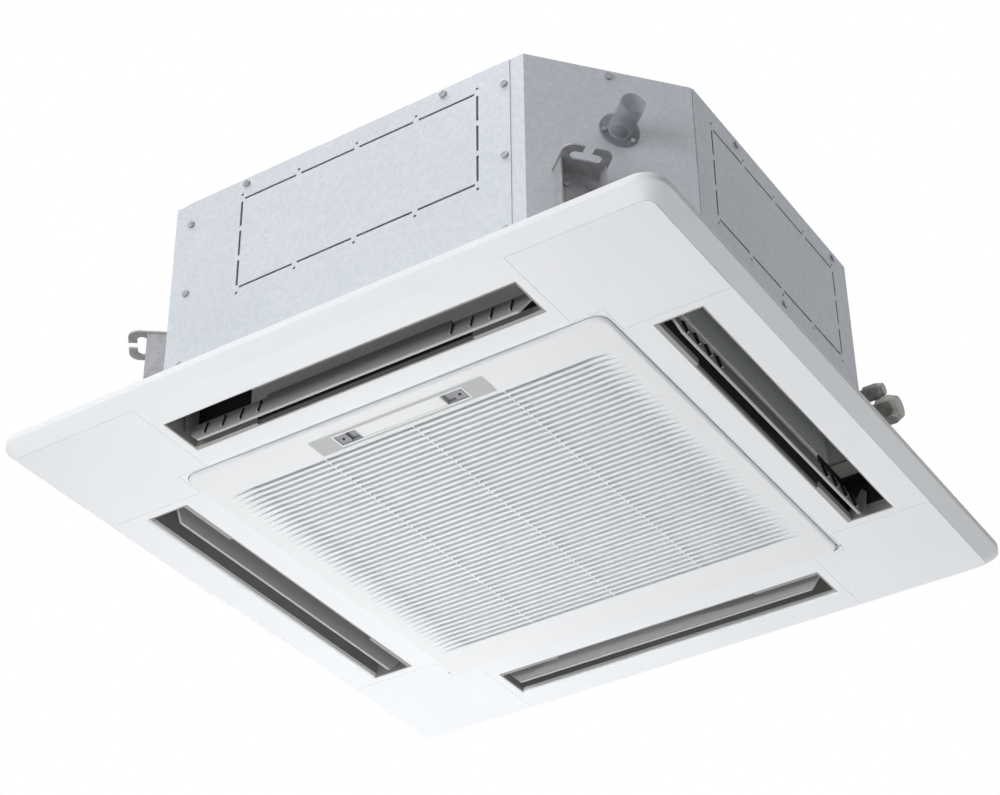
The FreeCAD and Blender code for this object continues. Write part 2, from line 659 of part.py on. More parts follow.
pipes = ("supply", "return")
pipe_holes = [pipe_rod(f"{which}_hole", which, f"{which}_tube + pipe_room", (f"{which}_x", f"{which}_end"))
              for which in pipes]


def water_pipe(which):
    # a header with stubs into the coil, and its tail out through the corner
    low = f"{base} + header_low"
    x, y = f"{which}_x", f"{which}_y"
    header = rod(f"{which}_header", "z", "header", (low, f"{low} + header_tall"), (x, y))
    tail = pipe_rod(f"{which}_tail", which, f"{which}_tube", (x, f"{which}_end"))
    levels = [f"{low} + stub_first + {i} * stub_pitch" for i in range(sizes["stub_count"])]
    stubs = [rod(f"{which}_stub{i}", "y", "stub", ("coil_end", y), (x, z)) for i, z in enumerate(levels)]
    bore = pipe_rod(f"{which}_bore", which, f"{which}_tube - pipe_wall",
                    (f"{which}_x + header", f"{which}_end + overrun"))
    return cut(f"{which}_pipe", fuse(f"{which}_tubes", header, tail, *stubs), bore)


bullet_shares = (1.4, 0.75)


def pipe_nut(which):
    # a six-sided nut on the pipe's end, with a round closed cap
    half = f"{which}_nut"
    outline = [(f"{which}_y + {half} * cos({angle})", f"-{which}_z + {half} * sin({angle})")
               for angle in range(0, 360, 60)]
    low = f"{which}_nut_end - {which}_nut_long"
    hexagon = prism(f"{which}_hexagon", outline, low, f"{which}_nut_end", "yz")
    bullet = doc.addObject("Part::Cone", f"{which}_bullet")
    bullet.Placement.Rotation = turns["x"]
    wide_share, narrow_share = bullet_shares
    bind(bullet, Radius1=f"{half} * {wide_share}", Radius2=f"{half} * {narrow_share}")
    bind(bullet, Height=f"{which}_nut_long", Placement__Base__x=low)
    bind(bullet, Placement__Base__y=f"{which}_y", Placement__Base__z=f"-{which}_z")
    seat = pipe_rod(f"{which}_nut_seat", which, f"{which}_tube", (f"{low} - overrun", f"{which}_end"))
    return cut(f"{which}_nut", common(f"{which}_nut_shape", hexagon, bullet), seat)


# Foam lining, drain pan and coil

foam_inset = "3 * sheet_wall + fit"


def foam_lining():
    outer = slab("lining_out", foam_inset, pan_top, f"{top} - sheet_wall")
    hollow = slab("lining_in", f"{foam_inset} + lining_wall", f"{pan_top} - overrun", lining_low)
    motor_hole = rod("lining_motor_hole", "z", "motor_hole", (f"{lining_low} - overrun", f"{top}"), (0, 0))
    hose_rod = drain_rod("lining_hose_rod", "hose + fit", ("-pump", "overrun"))
    hose_hole = on_corner(group("lining_hose_hole", hose_rod), drain_corner)
    return cut("foam_lining", outer, hollow, motor_hole, hose_hole, *pipe_holes)


def outlet_box(name, inner, outer, half, low, high):
    return box(name, (f"-({half})", half), (f"-({outer})", f"-({inner})"), (low, high))


def air_slot(name, low, high):
    # the air's way from the pan into an outlet
    return group(name, outlet_box(f"{name}_box", "slot_in", "slot_out", "slot_half", low, high))


def drain_pan():
    block = slab("pan_block", foam_inset, pan_low, pan_top)
    bore = rod("pan_hole", "z", "pan_bore", (f"{pan_low} - overrun", f"{pan_top} + overrun"), (0, 0))
    wide = rounded("trough_out", "coil_outer + trough_gap", "coil_corner + trough_gap",
                   f"{pan_top} - trough_depth", f"{pan_top} + overrun")
    inner = "coil_wall + trough_gap"
    island = rounded("trough_in", f"coil_outer - ({inner})", f"coil_corner - ({inner})", pan_low,
                     f"{pan_top} + 2 * overrun")
    trough = cut("trough", wide, island)
    slots = [spin(air_slot(f"pan_slot_{side}", f"{pan_low} - overrun", f"{pan_top} + overrun"), turn)
             for side, turn in sides.items()]
    return cut("drain_pan", block, bore, trough, *slots)


coil_low = f"{pan_top} - trough_depth"


def coil_fins():
    # the finned block, bent round the fan and open at the back right corner
    inner = "coil_outer - coil_wall"
    ring = cut("coil_ring", rounded("coil_out", "coil_outer", "coil_corner", coil_low, lining_low),
               rounded("coil_in", inner, "coil_corner - coil_wall", f"{coil_low} - overrun",
                       f"{lining_low} + overrun"))
    gap = box("coil_gap", ("coil_end", "coil_outer + overrun"), ("coil_end", "coil_outer + overrun"),
              (f"{coil_low} - overrun", f"{lining_low} + overrun"))
    return cut("coil_fins", ring, gap)


def coil_bends():
    # return bends on the coil's back end, each a half ring
    bends = []
    for i in range(sizes["bend_count"]):
        ring = doc.addObject("Part::Torus", f"bend_ring{i}")
        bind(ring, Radius1="bend_reach", Radius2="bend_tube", Placement__Base__x="coil_end",
             Placement__Base__y="coil_outer - coil_wall / 2",
             Placement__Base__z=f"{coil_low} + bend_rise + {i} * bend_pitch")
        ring.Placement.Rotation = Rotation(Vector(0, 0, 1), -90)
        bind(ring, Angle3="180")
        bends.append(ring)
    return group("coil_bends", *bends)


# Bell mouth, fan and motor

def bell_mouth():
    low = f"{pan_low} - bell_wall"
    half = "bell_side / 2"
    plate = prism("bell_plate", rectangle(half, half), low, pan_low)
    neck = f"{pan_low} + bell_rise"
    flare = cone("bell_flare", "bell_low + bell_wall", "bell_throat + bell_wall", pan_low, neck)
    lip = rod("bell_ring", "z", "bell_throat + bell_wall", (neck, f"{neck} + bell_lip"), (0, 0))
    hollow = cone("bell_hollow", "bell_low", "bell_throat", pan_low, neck)
    throat = rod("bell_bore", "z", "bell_throat", (neck, f"{neck} + bell_lip + overrun"), (0, 0))
    hole = rod("bell_hole", "z", "bell_low", (f"{low} - overrun", pan_low), (0, 0))
    return cut("bell_mouth", fuse("bell_solid", plate, flare, lip), hollow, throat, hole)


backplate_low = f"{base} + backplate_rise"
shroud_low = f"{base} + shroud_rise"


def fan_blade(i):
    # a curved vane: part of a thin round wall between two radii
    count = sizes["blade_count"]
    tall = (shroud_low, f"{backplate_low} + fan_wall / 2")
    place = ("blade_in + blade_off / 4", "-blade_off")
    shell = cut(f"blade_shell{i}", rod(f"blade_out{i}", "z", "blade_bend", tall, place),
                rod(f"blade_hollow{i}", "z", "blade_bend - fan_wall", tall, place))
    reach = cut(f"blade_reach{i}", rod(f"blade_far{i}", "z", "fan_radius", tall, (0, 0)),
                rod(f"blade_near{i}", "z", "blade_in", tall, (0, 0)))
    half = box(f"blade_half{i}", ("0", "fan_radius"), ("0", "fan_radius"), tall)
    blade = common(f"blade{i}", shell, reach, half)
    blade.Placement.Rotation = Rotation(Vector(0, 0, 1), 360 / count * i)
    return blade


def turbo_fan():
    plate = rod("fan_backplate", "z", "fan_radius", (backplate_low, f"{backplate_low} + fan_wall"), (0, 0))
    hub = rod("fan_hub", "z", "hub", (f"{backplate_low} - hub_tall", f"{backplate_low} + fan_wall"), (0, 0))
    ring = rod("shroud_out", "z", "fan_radius", (shroud_low, f"{shroud_low} + fan_wall"), (0, 0))
    eye = rod("shroud_in", "z", "fan_eye", around(shroud_low, "overrun"), (0, 0))
    shroud = cut("fan_shroud", ring, eye)
    blades = [fan_blade(i) for i in range(sizes["blade_count"])]
    bore_tall = (f"{backplate_low} - hub_tall - overrun", f"{backplate_low} + overrun")
    bore = rod("fan_bore", "z", "shaft", bore_tall, (0, 0))
    return cut("turbo_fan", fuse("fan_solid", plate, hub, shroud, *blades), bore)


flange_top = f"{top} - sheet_wall - bush_tall"
motor_low = f"{flange_top} - motor_flange_wall - motor_tall"


def bush_places():
    angles = [f"({i} * 360 / bush_count)" for i in range(sizes["bush_count"])]
    return [(f"bush_ring * cos{angle}", f"bush_ring * sin{angle}") for angle in angles]


def motor_bolt_rods(name, low, high, radius):
    return [rod(f"{name}{i}", "z", radius, (low, high), place) for i, place in enumerate(bush_places())]


motor_bolt_low = f"{flange_top} - motor_flange_wall"
motor_bolt_bores = motor_bolt_rods("motor_bolt_hole", motor_bolt_low, f"{top} + overrun", "motor_bolt")
motor_bolt_holes = group("motor_bolt_holes", *motor_bolt_bores)


def fan_motor():
    flange = rod("motor_disc", "z", "motor_flange", (motor_bolt_low, flange_top), (0, 0))
    case = rod("motor_case", "z", "motor", (motor_low, motor_bolt_low), (0, 0))
    bore = rod("motor_bore", "z", "shaft + running",
               (f"{motor_low} - overrun", f"{motor_low} + shaft_seat"), (0, 0))
    return cut("fan_motor", fuse("motor_solid", flange, case), bore, motor_bolt_holes)


def motor_bushes():
    solids = motor_bolt_rods("bush_solid", flange_top, f"{top} - sheet_wall", "bush")
    bushes = [cut(f"bush{i}", solid, motor_bolt_holes) for i, solid in enumerate(solids)]
    return group("motor_bushes", *bushes)


def motor_bolts():
    shanks = motor_bolt_rods("motor_shank", motor_bolt_low, top, "motor_bolt")
    heads = motor_bolt_rods("motor_head", top, f"{top} + motor_bolt_head_tall", "motor_bolt_head")
    bolts = [fuse(f"motor_bolt{i}", *pair) for i, pair in enumerate(zip(shanks, heads))]
    return group("motor_bolts", *bolts)


hub_low = f"{backplate_low} - hub_tall"


def motor_shaft():
    run = (f"{hub_low} - shaft_tip", f"{motor_low} + shaft_seat - seat")
    return rod("motor_shaft", "z", "shaft", run, (0, 0))


def fan_nut():
    low = f"{hub_low} - fan_nut_tall"
    nut = rod("fan_nut_round", "z", "fan_nut", (low, hub_low), (0, 0))
    bore = rod("fan_nut_bore", "z", "shaft", (f"{low} - overrun", f"{hub_low} + overrun"), (0, 0))
    return cut("fan_nut", nut, bore)


def top_plate():
    outer = slab("top_out", "2 * sheet_wall", f"{top} - top_lip", top)
    hollow = slab("top_in", "3 * sheet_wall", f"{top} - top_lip - overrun", f"{top} - sheet_wall")
    return cut("top_plate", outer, hollow, casing_holes, motor_bolt_holes)


# Control box beside the bell mouth

box_low = f"{pan_low} - box_tall"


def control_box():
    half = "box_wide / 2"
    deep = ("box_in", "box_in + box_deep")
    case = box("box_case", (f"-{half}", half), deep, (f"{box_low} + box_wall", pan_low))
    room = box("box_room", (f"-{half} + box_wall", f"{half} - box_wall"),
               ("box_in + box_wall", "box_in + box_deep - box_wall"),
               (f"{box_low} - overrun", f"{pan_low} - box_wall"))
    return cut("control_box", case, room)


def control_box_cover():
    half = "box_wide / 2"
    return box("control_box_cover", (f"-{half}", half), ("box_in", "box_in + box_deep"),
               (box_low, f"{box_low} + box_wall"))


def control_board():
    middle = "box_in + box_deep / 2"
    board_high = f"{pan_low} - box_wall - board_rise"
    plate = box("board_plate", around("-board_off", "board_wide / 2"), around(middle, "board_deep / 2"),
                (f"{board_high} - board_wall", board_high))
    tall = (board_high, f"{pan_low} - box_wall")
    places = around("-board_off", "(board_wide / 2 - board_rise)")
    feet = [rod(f"board_foot{i}", "z", "board_rise / 2", tall, (x, middle)) for i, x in enumerate(places)]
    return fuse("control_board", plate, *feet)


def terminal_block():
    middle = "box_in + box_deep / 2"
    high = f"{pan_low} - box_wall"
    return box("terminal_block", around("terminal_off", "terminal_wide / 2"),
               around(middle, "terminal_deep / 2"), (f"{high} - terminal_tall", high))


# Ceiling panel

neck_in = "grille_side / 2 + grille_gap"
neck_out = f"{neck_in} + neck_wall"
rim_low = f"{face} + panel_bevel_rise"
rim_top = f"{rim_low} + panel_rim"
cover_top = f"{face} + cover_wall"


def tray(name, half, low, high):
    # a square dish with rounded corners and a bevel all round its lower edge
    body = rounded(name, half, "panel_corner", low, high)
    tip, names = low_edges(body)
    bevel = body.newObject("PartDesign::Chamfer", f"{name}_bevel")
    bevel.Base = (tip, names)
    bevel.ChamferType = "Two distances"
    bind(bevel, Size="panel_bevel_rise", Size2="panel_bevel")
    doc.recompute()
    return body


def cover_outline(grow, inner):
    # a square with one corner left out for the grille
    low = f"cover_in - ({grow})"
    high = f"cover_out + ({grow})"
    return [(low, f"-({high})"), (high, f"-({high})"), (high, f"-({low})"),
            (inner, f"-({low})"), (inner, f"-({inner})"), (low, f"-({inner})")]


def cover_prism(name, grow, inner, low, high):
    # its outer corner is rounded
    body = prism(name, cover_outline(grow, inner), low, high)
    middle = val("(cover_in + cover_out) / 2")
    return round_uprights(body, f"cover_corner + ({grow})", lambda p: p.x > middle and p.y < -middle)


def corner_cover(corner, turn):
    plate = cover_prism(f"cover_{corner}_plate", "0", f"{neck_out} + cover_gap", face, cover_top)
    return spin(group(f"corner_cover_{corner}", plate), turn)


def cover_recess(corner, turn):
    hollow = cover_prism(f"recess_{corner}_prism", "cover_gap", neck_out, f"{face} - overrun", cover_top)
    return spin(group(f"recess_{corner}", hollow), turn)


def cover_floor(corner, turn):
    # the thickened place behind a corner cover
    low, high = "cover_in - cover_back_margin", "cover_out + panel_bevel"
    block = box(f"cover_floor_box_{corner}", (low, high), (f"-({high})", f"-({low})"),
                (face, f"{cover_top} + cover_gap + cover_back"))
    return spin(group(f"cover_floor_turn_{corner}", block), turn)


def posts(name, radius, low, high):
    return [rod(f"{name}_{corner}", "z", radius, (low, high), (f"{sx} * post_x", f"{sy} * post_y"))
            for corner, (sx, sy) in corners.items()]


outlet_out = "(outlet_in + outlet_wide)"


def panel_outlet(side):
    hole = outlet_box(f"panel_outlet_box_{side}", "outlet_in", f"{outlet_out} + outlet_lip",
                      "outlet_long / 2", f"{face} - overrun", f"{face} + panel_bevel")
    return spin(group(f"panel_outlet_{side}", hole), sides[side])


def panel_lip(side):
    # the round bead along an outlet's outer edge
    reach = "(outlet_long / 2 + overrun)"
    bead = rod(f"panel_bead_{side}", "x", "outlet_lip", (f"-{reach}", reach),
               (f"-({outlet_out} + outlet_lip)", f"{face} + outlet_lip + seat"))
    return spin(group(f"panel_lip_{side}", bead), sides[side])


def panel_opening():
    # its front corners follow the grille, and its back ones leave room for the hinge
    body = prism("panel_opening", rectangle(neck_in, neck_in), f"{face} - overrun", f"{base} + overrun")
    round_uprights(body, "grille_corner + grille_gap", lambda p: p.y < 0)
    return round_uprights(body, "hinge_corner", lambda p: p.y > 0)


def panel_frame():
    outer = tray("panel_out", "panel_side / 2", face, rim_top)
    inner = tray("panel_in", "panel_side / 2 - panel_wall", f"{face} + panel_wall",
                 f"{rim_top} + panel_bevel")
    shell = cut("panel_shell", outer, inner)
    floors = [common(f"cover_floor_{corner}", outer, cover_floor(corner, turn))
              for turn, corner in enumerate(corners)]
    neck = prism("panel_neck", rectangle(neck_out, neck_out), face, base)
    solid = fuse("panel_solid", shell, *floors, neck, *posts("panel_post", "post", face, base))
    opening = panel_opening()
    outlets = [panel_outlet(side) for side in sides]
    recesses = [cover_recess(corner, turn) for turn, corner in enumerate(corners)]
    heads = posts("post_head_hole", "post_bolt_head + fit", f"{face} - overrun", f"{face} + post_bolt_drop")
    pin_holes = rod("neck_pin_hole", "x", "hinge_pin",
                    (f"-({neck_out}) - overrun", f"{neck_out} + overrun"), (hinge_y, hinge_z))
    pierced = cut("panel_pierced", solid, opening, *outlets, *recesses, *heads, post_bores, pin_holes)
    return fuse("panel_frame", pierced, *[panel_lip(side) for side in sides])


def panel_bolts():
    head_high = f"{face} + post_bolt_drop"
    shanks = posts("bolt_shank", "post_bolt", head_high, pan_low)
    heads = posts("bolt_head", "post_bolt_head", f"{head_high} - post_bolt_head_tall", head_high)
    return group("panel_bolts", *[fuse(f"panel_bolt{i}", *pair) for i, pair in enumerate(zip(shanks, heads))])


# Air outlets: dark liners, swinging flaps and their motors, drawn at the front and turned

def outlet_profile(shrink, low, high):
    # the duct's section: its outer wall leans inwards to meet the pan's slot
    near = f"-(outlet_in + {shrink})"
    far = f"-({outlet_out} - ({shrink}))"
    bend = f"{face} + liner_straight"
    return [(far, low), (near, low), (near, high), (f"{far} + liner_lean", high), (far, bend)]


pivot_y = "-(outlet_in + pivot_out)"
pivot_z = f"{face} + pivot_rise"
liner_half = "outlet_long / 2 - fit"


def outlet_liner(side):
    room = f"{liner_half} - liner_wall"
    outside = outlet_profile("fit", face, base)
    within = outlet_profile("fit + liner_wall", f"{face} - overrun", f"{base} - liner_wall")
    skin = prism(f"{side}_liner_skin", outside, f"-({liner_half})", liner_half, "yz")
    hollow = prism(f"{side}_liner_hollow", within, f"-({room})", room, "yz")
    mouth = air_slot(f"{side}_liner_mouth", f"{base} - overrun", f"{base} + overrun")
    flange = outlet_box(f"{side}_liner_flange", "outlet_in - liner_flange", f"{outlet_out} - fit",
                        "outlet_long / 2 + liner_flange", f"{face} + panel_wall",
                        f"{face} + panel_wall + liner_flange_wall")
    bead_room = outlet_box(f"{side}_bead_room", f"{outlet_out} - fit - 2 * liner_wall", outlet_out, room,
                           f"{face} - overrun", f"{face} + outlet_lip")
    wall_y = "-(outlet_in + fit + liner_wall)"
    step_y = (f"{wall_y} - liner_step", wall_y)
    step_z = (face, f"{face} + liner_step_tall")
    steps = [box(f"{side}_liner_step{hand + 1}", inside(hand, room, "liner_step_long"), step_y, step_z)
             for hand in (-1, 1)]
    pin = rod(f"{side}_liner_pin_hole", "x", "pivot_pin + running",
              (f"-({liner_half}) - overrun", f"{liner_half} + overrun"), (pivot_y, pivot_z))
    duct = cut(f"{side}_liner_duct", fuse(f"{side}_liner_solid", skin, flange), hollow, mouth, bead_room)
    return spin(cut(f"outlet_liner_{side}", fuse(f"{side}_liner_stepped", duct, *steps), pin), sides[side])


def flap_point(share, out):
    # a place on the vane's outer skin, by its share of the way from tip to root, pushed out from it
    depth = f"flap_tip_out + flap_wall + {share} * (flap_root_out - flap_tip_out) + ({out})"
    height = f"{share} * (flap_root_rise + flap_tip_drop) - flap_tip_drop"
    return f"-(outlet_in + {depth})", f"{face} + {height}"


rib_shares = (0.1, 0.16, 0.66, 0.76)
low_share = "(1 - flap_end_drop / (flap_root_rise + flap_tip_drop))"


def flap_ribs(side, half):
    # low ribs on the vane's outer skin, counted inwards from both ends
    first, second, third, last = rib_shares
    outline = [flap_point(first, "-flap_wall / 2"), flap_point(last, "-flap_wall / 2"),
               flap_point(third, "rib_tall"), flap_point(second, "rib_tall")]
    ribs = []
    for hand in (-1, 1):
        for i in range(1, sizes["ribs_each_end"] + 1):
            run = around(f"{hand} * ({half} - {i} * rib_pitch)", "rib_wall / 2")
            ribs.append(prism(f"{side}_rib{hand + 1}{i}", outline, *run, "yz"))
    return ribs


def flap_corners(side, half):
    # the slanted cuts at both ends of the tip
    low = f"{face} - flap_tip_drop - seat"
    across = (f"-{outlet_out}", "-outlet_in")
    cuts = []
    for hand in (-1, 1):
        end = f"{hand} * ({half} + seat)"
        slant = [(end, low), (end, f"{low} + flap_tip_cut"), (f"{hand} * ({half} - flap_tip_cut)", low)]
        cuts.append(prism(f"{side}_tip_cut{hand + 1}", slant, *across, "xz"))
    return cuts


def air_flap(side):
    # a leaning vane, lower and ribbed near its ends, on two end plates with pins
    half = "flap_long / 2"
    tip = [flap_point("0", "0"), flap_point("0", "-flap_wall")]
    low_root = [flap_point(low_share, "-flap_wall"), flap_point(low_share, "0")]
    root = [flap_point("1", "-flap_wall"), flap_point("1", "0")]
    vane = prism(f"{side}_vane", tip + low_root, f"-{half}", half, "yz")
    crest = prism(f"{side}_crest", tip + root, "-flap_crest / 2", "flap_crest / 2", "yz")
    pivot_top = (pivot_y, f"{pivot_z} + pivot_land")
    pivot_side = (f"{pivot_y} - pivot_land", pivot_z)
    end_outline = [*tip, low_root[0], pivot_top, pivot_side]
    ends = [prism(f"{side}_flap_end{hand + 1}", end_outline, *inside(hand, half, "flap_end_wall"), "yz")
            for hand in (-1, 1)]
    ribs = flap_ribs(side, half)
    free_run = (f"-({liner_half})", f"-{half} + flap_end_wall")
    drive_run = (f"{half} - flap_end_wall", f"{liner_half} + step_motor_seat - seat")
    free_pin = rod(f"{side}_free_pin", "x", "pivot_pin", free_run, (pivot_y, pivot_z))
    drive_pin = rod(f"{side}_drive_pin", "x", "pivot_pin", drive_run, (pivot_y, pivot_z))
    solid = fuse(f"{side}_flap_solid", vane, crest, *ends, *ribs, free_pin, drive_pin)
    return spin(cut(f"flap_{side}", solid, *flap_corners(side, half)), sides[side])


def flap_motor(side):
    tall = (liner_half, f"{liner_half} + step_motor_tall")
    deep = (f"{liner_half} - overrun", f"{liner_half} + step_motor_seat")
    case = rod(f"{side}_step_case", "x", "step_motor", tall, (pivot_y, pivot_z))
    seat = rod(f"{side}_step_seat", "x", "pivot_pin + running", deep, (pivot_y, pivot_z))
    return spin(cut(f"flap_motor_{side}", case, seat), sides[side])


# Intake grille with its filter, latch strip, latches and hinge pins

hinge_y = "grille_side / 2 - hinge_inset"
hinge_z = f"{grille_low} + hinge_rise"
grille_top = f"{grille_low} + grille_deep"
grille_back = f"{grille_low} + grille_face"
grille_room = "grille_side / 2 - grille_rim"
boss_reach = f"{grille_room} - hinge_in"


def strip_boxes(name, low, high):
    # the latch strip's outline, with a bar left standing in its middle
    outline = box(f"{name}_outline", ("-strip_wide / 2", "strip_wide / 2"),
                  around("-strip_y", "strip_deep / 2"), (low, high))
    bar = box(f"{name}_bar", ("-bar_wide / 2", "bar_wide / 2"), around("-strip_y", "bar_deep / 2"),
              (f"{low} - overrun", f"{high} + overrun"))
    return cut(name, outline, bar)


def latch_windows(name):
    # the two holes that the latches' buttons show in
    deep = (f"{grille_low} - overrun", f"{grille_back} + overrun")
    return [box(f"{name}{hand + 1}", around(f"{hand} * window_off", "window_wide / 2"),
                around("-strip_y", "window_deep / 2"), deep) for hand in (-1, 1)]


def slat_slots():
    # one slot whose ends ramp up to the face, repeated across the grille
    half = "slat_long / 2"
    mouth, root = f"{grille_low} - seat", f"{grille_back} + seat"
    outline = [(f"-{half}", mouth), (half, mouth),
               (f"{half} - slat_fade", root), (f"-{half} + slat_fade", root)]
    first = around("slat_shift - (slat_count - 1) * slat_pitch / 2", "slat_gap / 2")
    body = prism("slat_slot", outline, *first, "xz")
    row = body.newObject("PartDesign::LinearPattern", "slat_row")
    row.Originals = [body.Tip]
    sketch = body.Group[0]
    row.Direction = (sketch, ["N_Axis"])
    row.Reversed = True
    bind(row, Length="(slat_count - 1) * slat_pitch", Occurrences="slat_count")
    body.Tip = row
    doc.recompute()
    return body


def crossbars():
    # bars that tie the slats together behind the face
    run = around("slat_shift", "slat_count * slat_pitch / 2")
    tall = (grille_back, f"{grille_back} + cross_tall")
    middles = [f"({i} - (cross_count - 1) / 2) * cross_pitch" for i in range(sizes["cross_count"])]
    return [box(f"grille_cross{i}", around(x, "cross_wall / 2"), run, tall) for i, x in enumerate(middles)]


def intake_grille():
    plate = rounded("grille_plate", "grille_side / 2", "grille_corner", grille_low, grille_top)
    tip, names = low_edges(plate)
    soft = plate.newObject("PartDesign::Fillet", "grille_soft_edge")
    soft.Base = (tip, names)
    bind(soft, Radius="grille_edge")
    doc.recompute()
    room = rounded("grille_room", grille_room, "grille_corner - grille_rim", grille_back,
                   f"{grille_top} + overrun")
    dish = cut("grille_dish", plate, room)
    strip = strip_boxes("strip_recess", f"{grille_low} - overrun", f"{grille_low} + strip_wall")
    slotted = cut("grille_slotted", dish, slat_slots(), strip, *latch_windows("grille_window"))
    bosses = [rod(f"grille_boss{hand + 1}", "x", "hinge_boss", inside(hand, boss_reach, "hinge_boss"),
                  (hinge_y, hinge_z)) for hand in (-1, 1)]
    across = ("-grille_side", "grille_side")
    pin_hole = rod("grille_pin_hole", "x", "hinge_pin + running", across, (hinge_y, hinge_z))
    return cut("intake_grille", fuse("grille_ribbed", slotted, *crossbars(), *bosses), pin_hole)


def hinge_pins():
    pins = []
    for hand in (-1, 1):
        inner = f"{hand} * ({boss_reach} - hinge_boss)"
        outer = f"{hand} * ({neck_out})"
        along = (inner, outer) if hand > 0 else (outer, inner)
        pins.append(rod(f"hinge_pin{hand + 1}", "x", "hinge_pin", along, (hinge_y, hinge_z)))
    return group("hinge_pins", *pins)


def air_filter():
    low = f"{grille_back} + cross_tall"
    high = f"{low} + filter_tall"
    half_x, half_y = "filter_wide / 2", "filter_deep / 2"
    outside = rectangle(half_x, half_y)
    within = rectangle(f"{half_x} - filter_frame", f"{half_y} - filter_frame")
    seated = rectangle(f"{half_x} - filter_frame / 2", f"{half_y} - filter_frame / 2")
    frame = cut("filter_frame", prism("filter_frame_out", outside, low, high),
                prism("filter_frame_in", within, f"{low} - overrun", f"{high} + overrun"))
    net = prism("filter_net", seated, low, f"{low} + filter_net")
    run = (f"-{half_y} + filter_frame / 2", f"{half_y} - filter_frame / 2")
    middles = [f"({i} / (filter_bars + 1) - 1 / 2) * filter_wide" for i in range(1, sizes["filter_bars"] + 1)]
    bars = [box(f"filter_bar{i}", around(x, "filter_bar / 2"), run, (low, high))
            for i, x in enumerate(middles)]
    return fuse("air_filter", frame, net, *bars)


def latch_strip():
    plate = strip_boxes("strip_plate", grille_low, f"{grille_low} + strip_wall")
    return cut("latch_strip", plate, *latch_windows("strip_window"))


def grille_latch(name, hand):
    # a button in its window, on a slide behind the face that stops short of the grille's front rim
    x = f"{hand} * (window_off + window_wide / 2 - fit - button_wide / 2)"
    back = f"{grille_back} + fit"
    button = box(f"{name}_button", around(x, "button_wide / 2"), around("-strip_y", "button_deep / 2"),
                 (f"{grille_low} + button_sink", back))
    reach = (f"-({grille_room}) + latch_front", "-strip_y + latch_back")
    slide = box(f"{name}_slide", around(x, "latch_wide / 2"), reach, (back, f"{back} + latch_wall"))
    return fuse(name, button, slide)


# All the pieces, in the order of a bench list

casing = [top_plate(), *map(side_sheet, sides), *map(corner_sheet, corners), casing_screws]
hangers = [*map(hanger_bracket, corners), hanger_screws]
coil = [foam_lining(), drain_pan(), coil_fins(), coil_bends(), *map(water_pipe, pipes), *map(pipe_nut, pipes)]
drive = [bell_mouth(), turbo_fan(), motor_shaft(), fan_nut(), fan_motor(), motor_bushes(), motor_bolts()]
drain = [drain_pump(), drain_hose(), drain_socket(), socket_screws]
controls = [control_box(), control_box_cover(), control_board(), terminal_block()]
panel = [panel_frame(), panel_bolts(), *[corner_cover(corner, turn) for turn, corner in enumerate(corners)]]
outlets = [*map(outlet_liner, sides), *map(air_flap, sides), group("flap_motors", *map(flap_motor, sides))]
grille = [intake_grille(), hinge_pins(), air_filter(), latch_strip()]
latches = [grille_latch("latch_left", -1), grille_latch("latch_right", 1)]
pieces = casing + hangers + coil + drive + drain + controls + panel + outlets + grille + latches

doc.recompute()
for item in doc.Objects:
    if "Invalid" in item.State or "Error" in item.State:
        raise RuntimeError(f"{item.Name} failed: {item.State}")
for piece in pieces:
    piece.Label = piece.Name
    if piece.Shape.isNull() or not piece.Shape.isValid() or not piece.Shape.Solids:
        raise RuntimeError(f"{piece.Name} has no sound solid")

os.makedirs("parts", exist_ok=True)
for piece in pieces:
    piece.Shape.exportStep(f"parts/{piece.Label}.step")
    print(f"{piece.Label}: {len(piece.Shape.Solids)} solids, {piece.Shape.Volume:.0f} mm3")
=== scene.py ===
import json
import math

import bmesh
import bpy
from mathutils import Matrix, Vector


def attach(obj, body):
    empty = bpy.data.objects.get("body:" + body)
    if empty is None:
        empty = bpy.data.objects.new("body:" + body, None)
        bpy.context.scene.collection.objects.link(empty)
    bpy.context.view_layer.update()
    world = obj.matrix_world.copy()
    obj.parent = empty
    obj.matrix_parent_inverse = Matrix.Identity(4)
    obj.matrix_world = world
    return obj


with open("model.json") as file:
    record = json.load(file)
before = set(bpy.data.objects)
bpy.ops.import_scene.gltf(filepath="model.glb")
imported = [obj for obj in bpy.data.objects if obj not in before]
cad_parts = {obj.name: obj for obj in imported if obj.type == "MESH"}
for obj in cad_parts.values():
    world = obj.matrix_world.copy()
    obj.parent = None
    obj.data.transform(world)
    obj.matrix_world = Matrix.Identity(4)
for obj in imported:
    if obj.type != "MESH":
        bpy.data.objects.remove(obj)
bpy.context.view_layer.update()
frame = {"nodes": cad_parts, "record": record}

nodes = frame["nodes"]
mm = 0.001
print("frame loaded:", len(nodes), "nodes")


# camera, matched to the photograph: it looks up at the panel from below the front right corner
shot = {
    "place": (1.3692, -2.2004, -1.8414),
    "right": (0.84034541, 0.54196531, -0.00965369),
    "up": (0.32126669, -0.48363833, 0.81417546),
    "back": (0.43658596, -0.68729002, -0.58053865),
    "lens": 85.48,
    "sensor": 36.0,
    "clip": (0.05, 60.0),
}


def setCamera():
    lens = bpy.data.cameras.new("camera")
    lens.lens = shot["lens"]
    lens.sensor_fit = "HORIZONTAL"
    lens.sensor_width = shot["sensor"]
    lens.clip_start, lens.clip_end = shot["clip"]
    eye = bpy.data.objects.new("camera", lens)
    turn = Matrix((shot["right"], shot["up"], shot["back"])).transposed().to_4x4()
    eye.matrix_world = Matrix.Translation(shot["place"]) @ turn
    bpy.context.scene.collection.objects.link(eye)
    bpy.context.scene.camera = eye


setCamera()


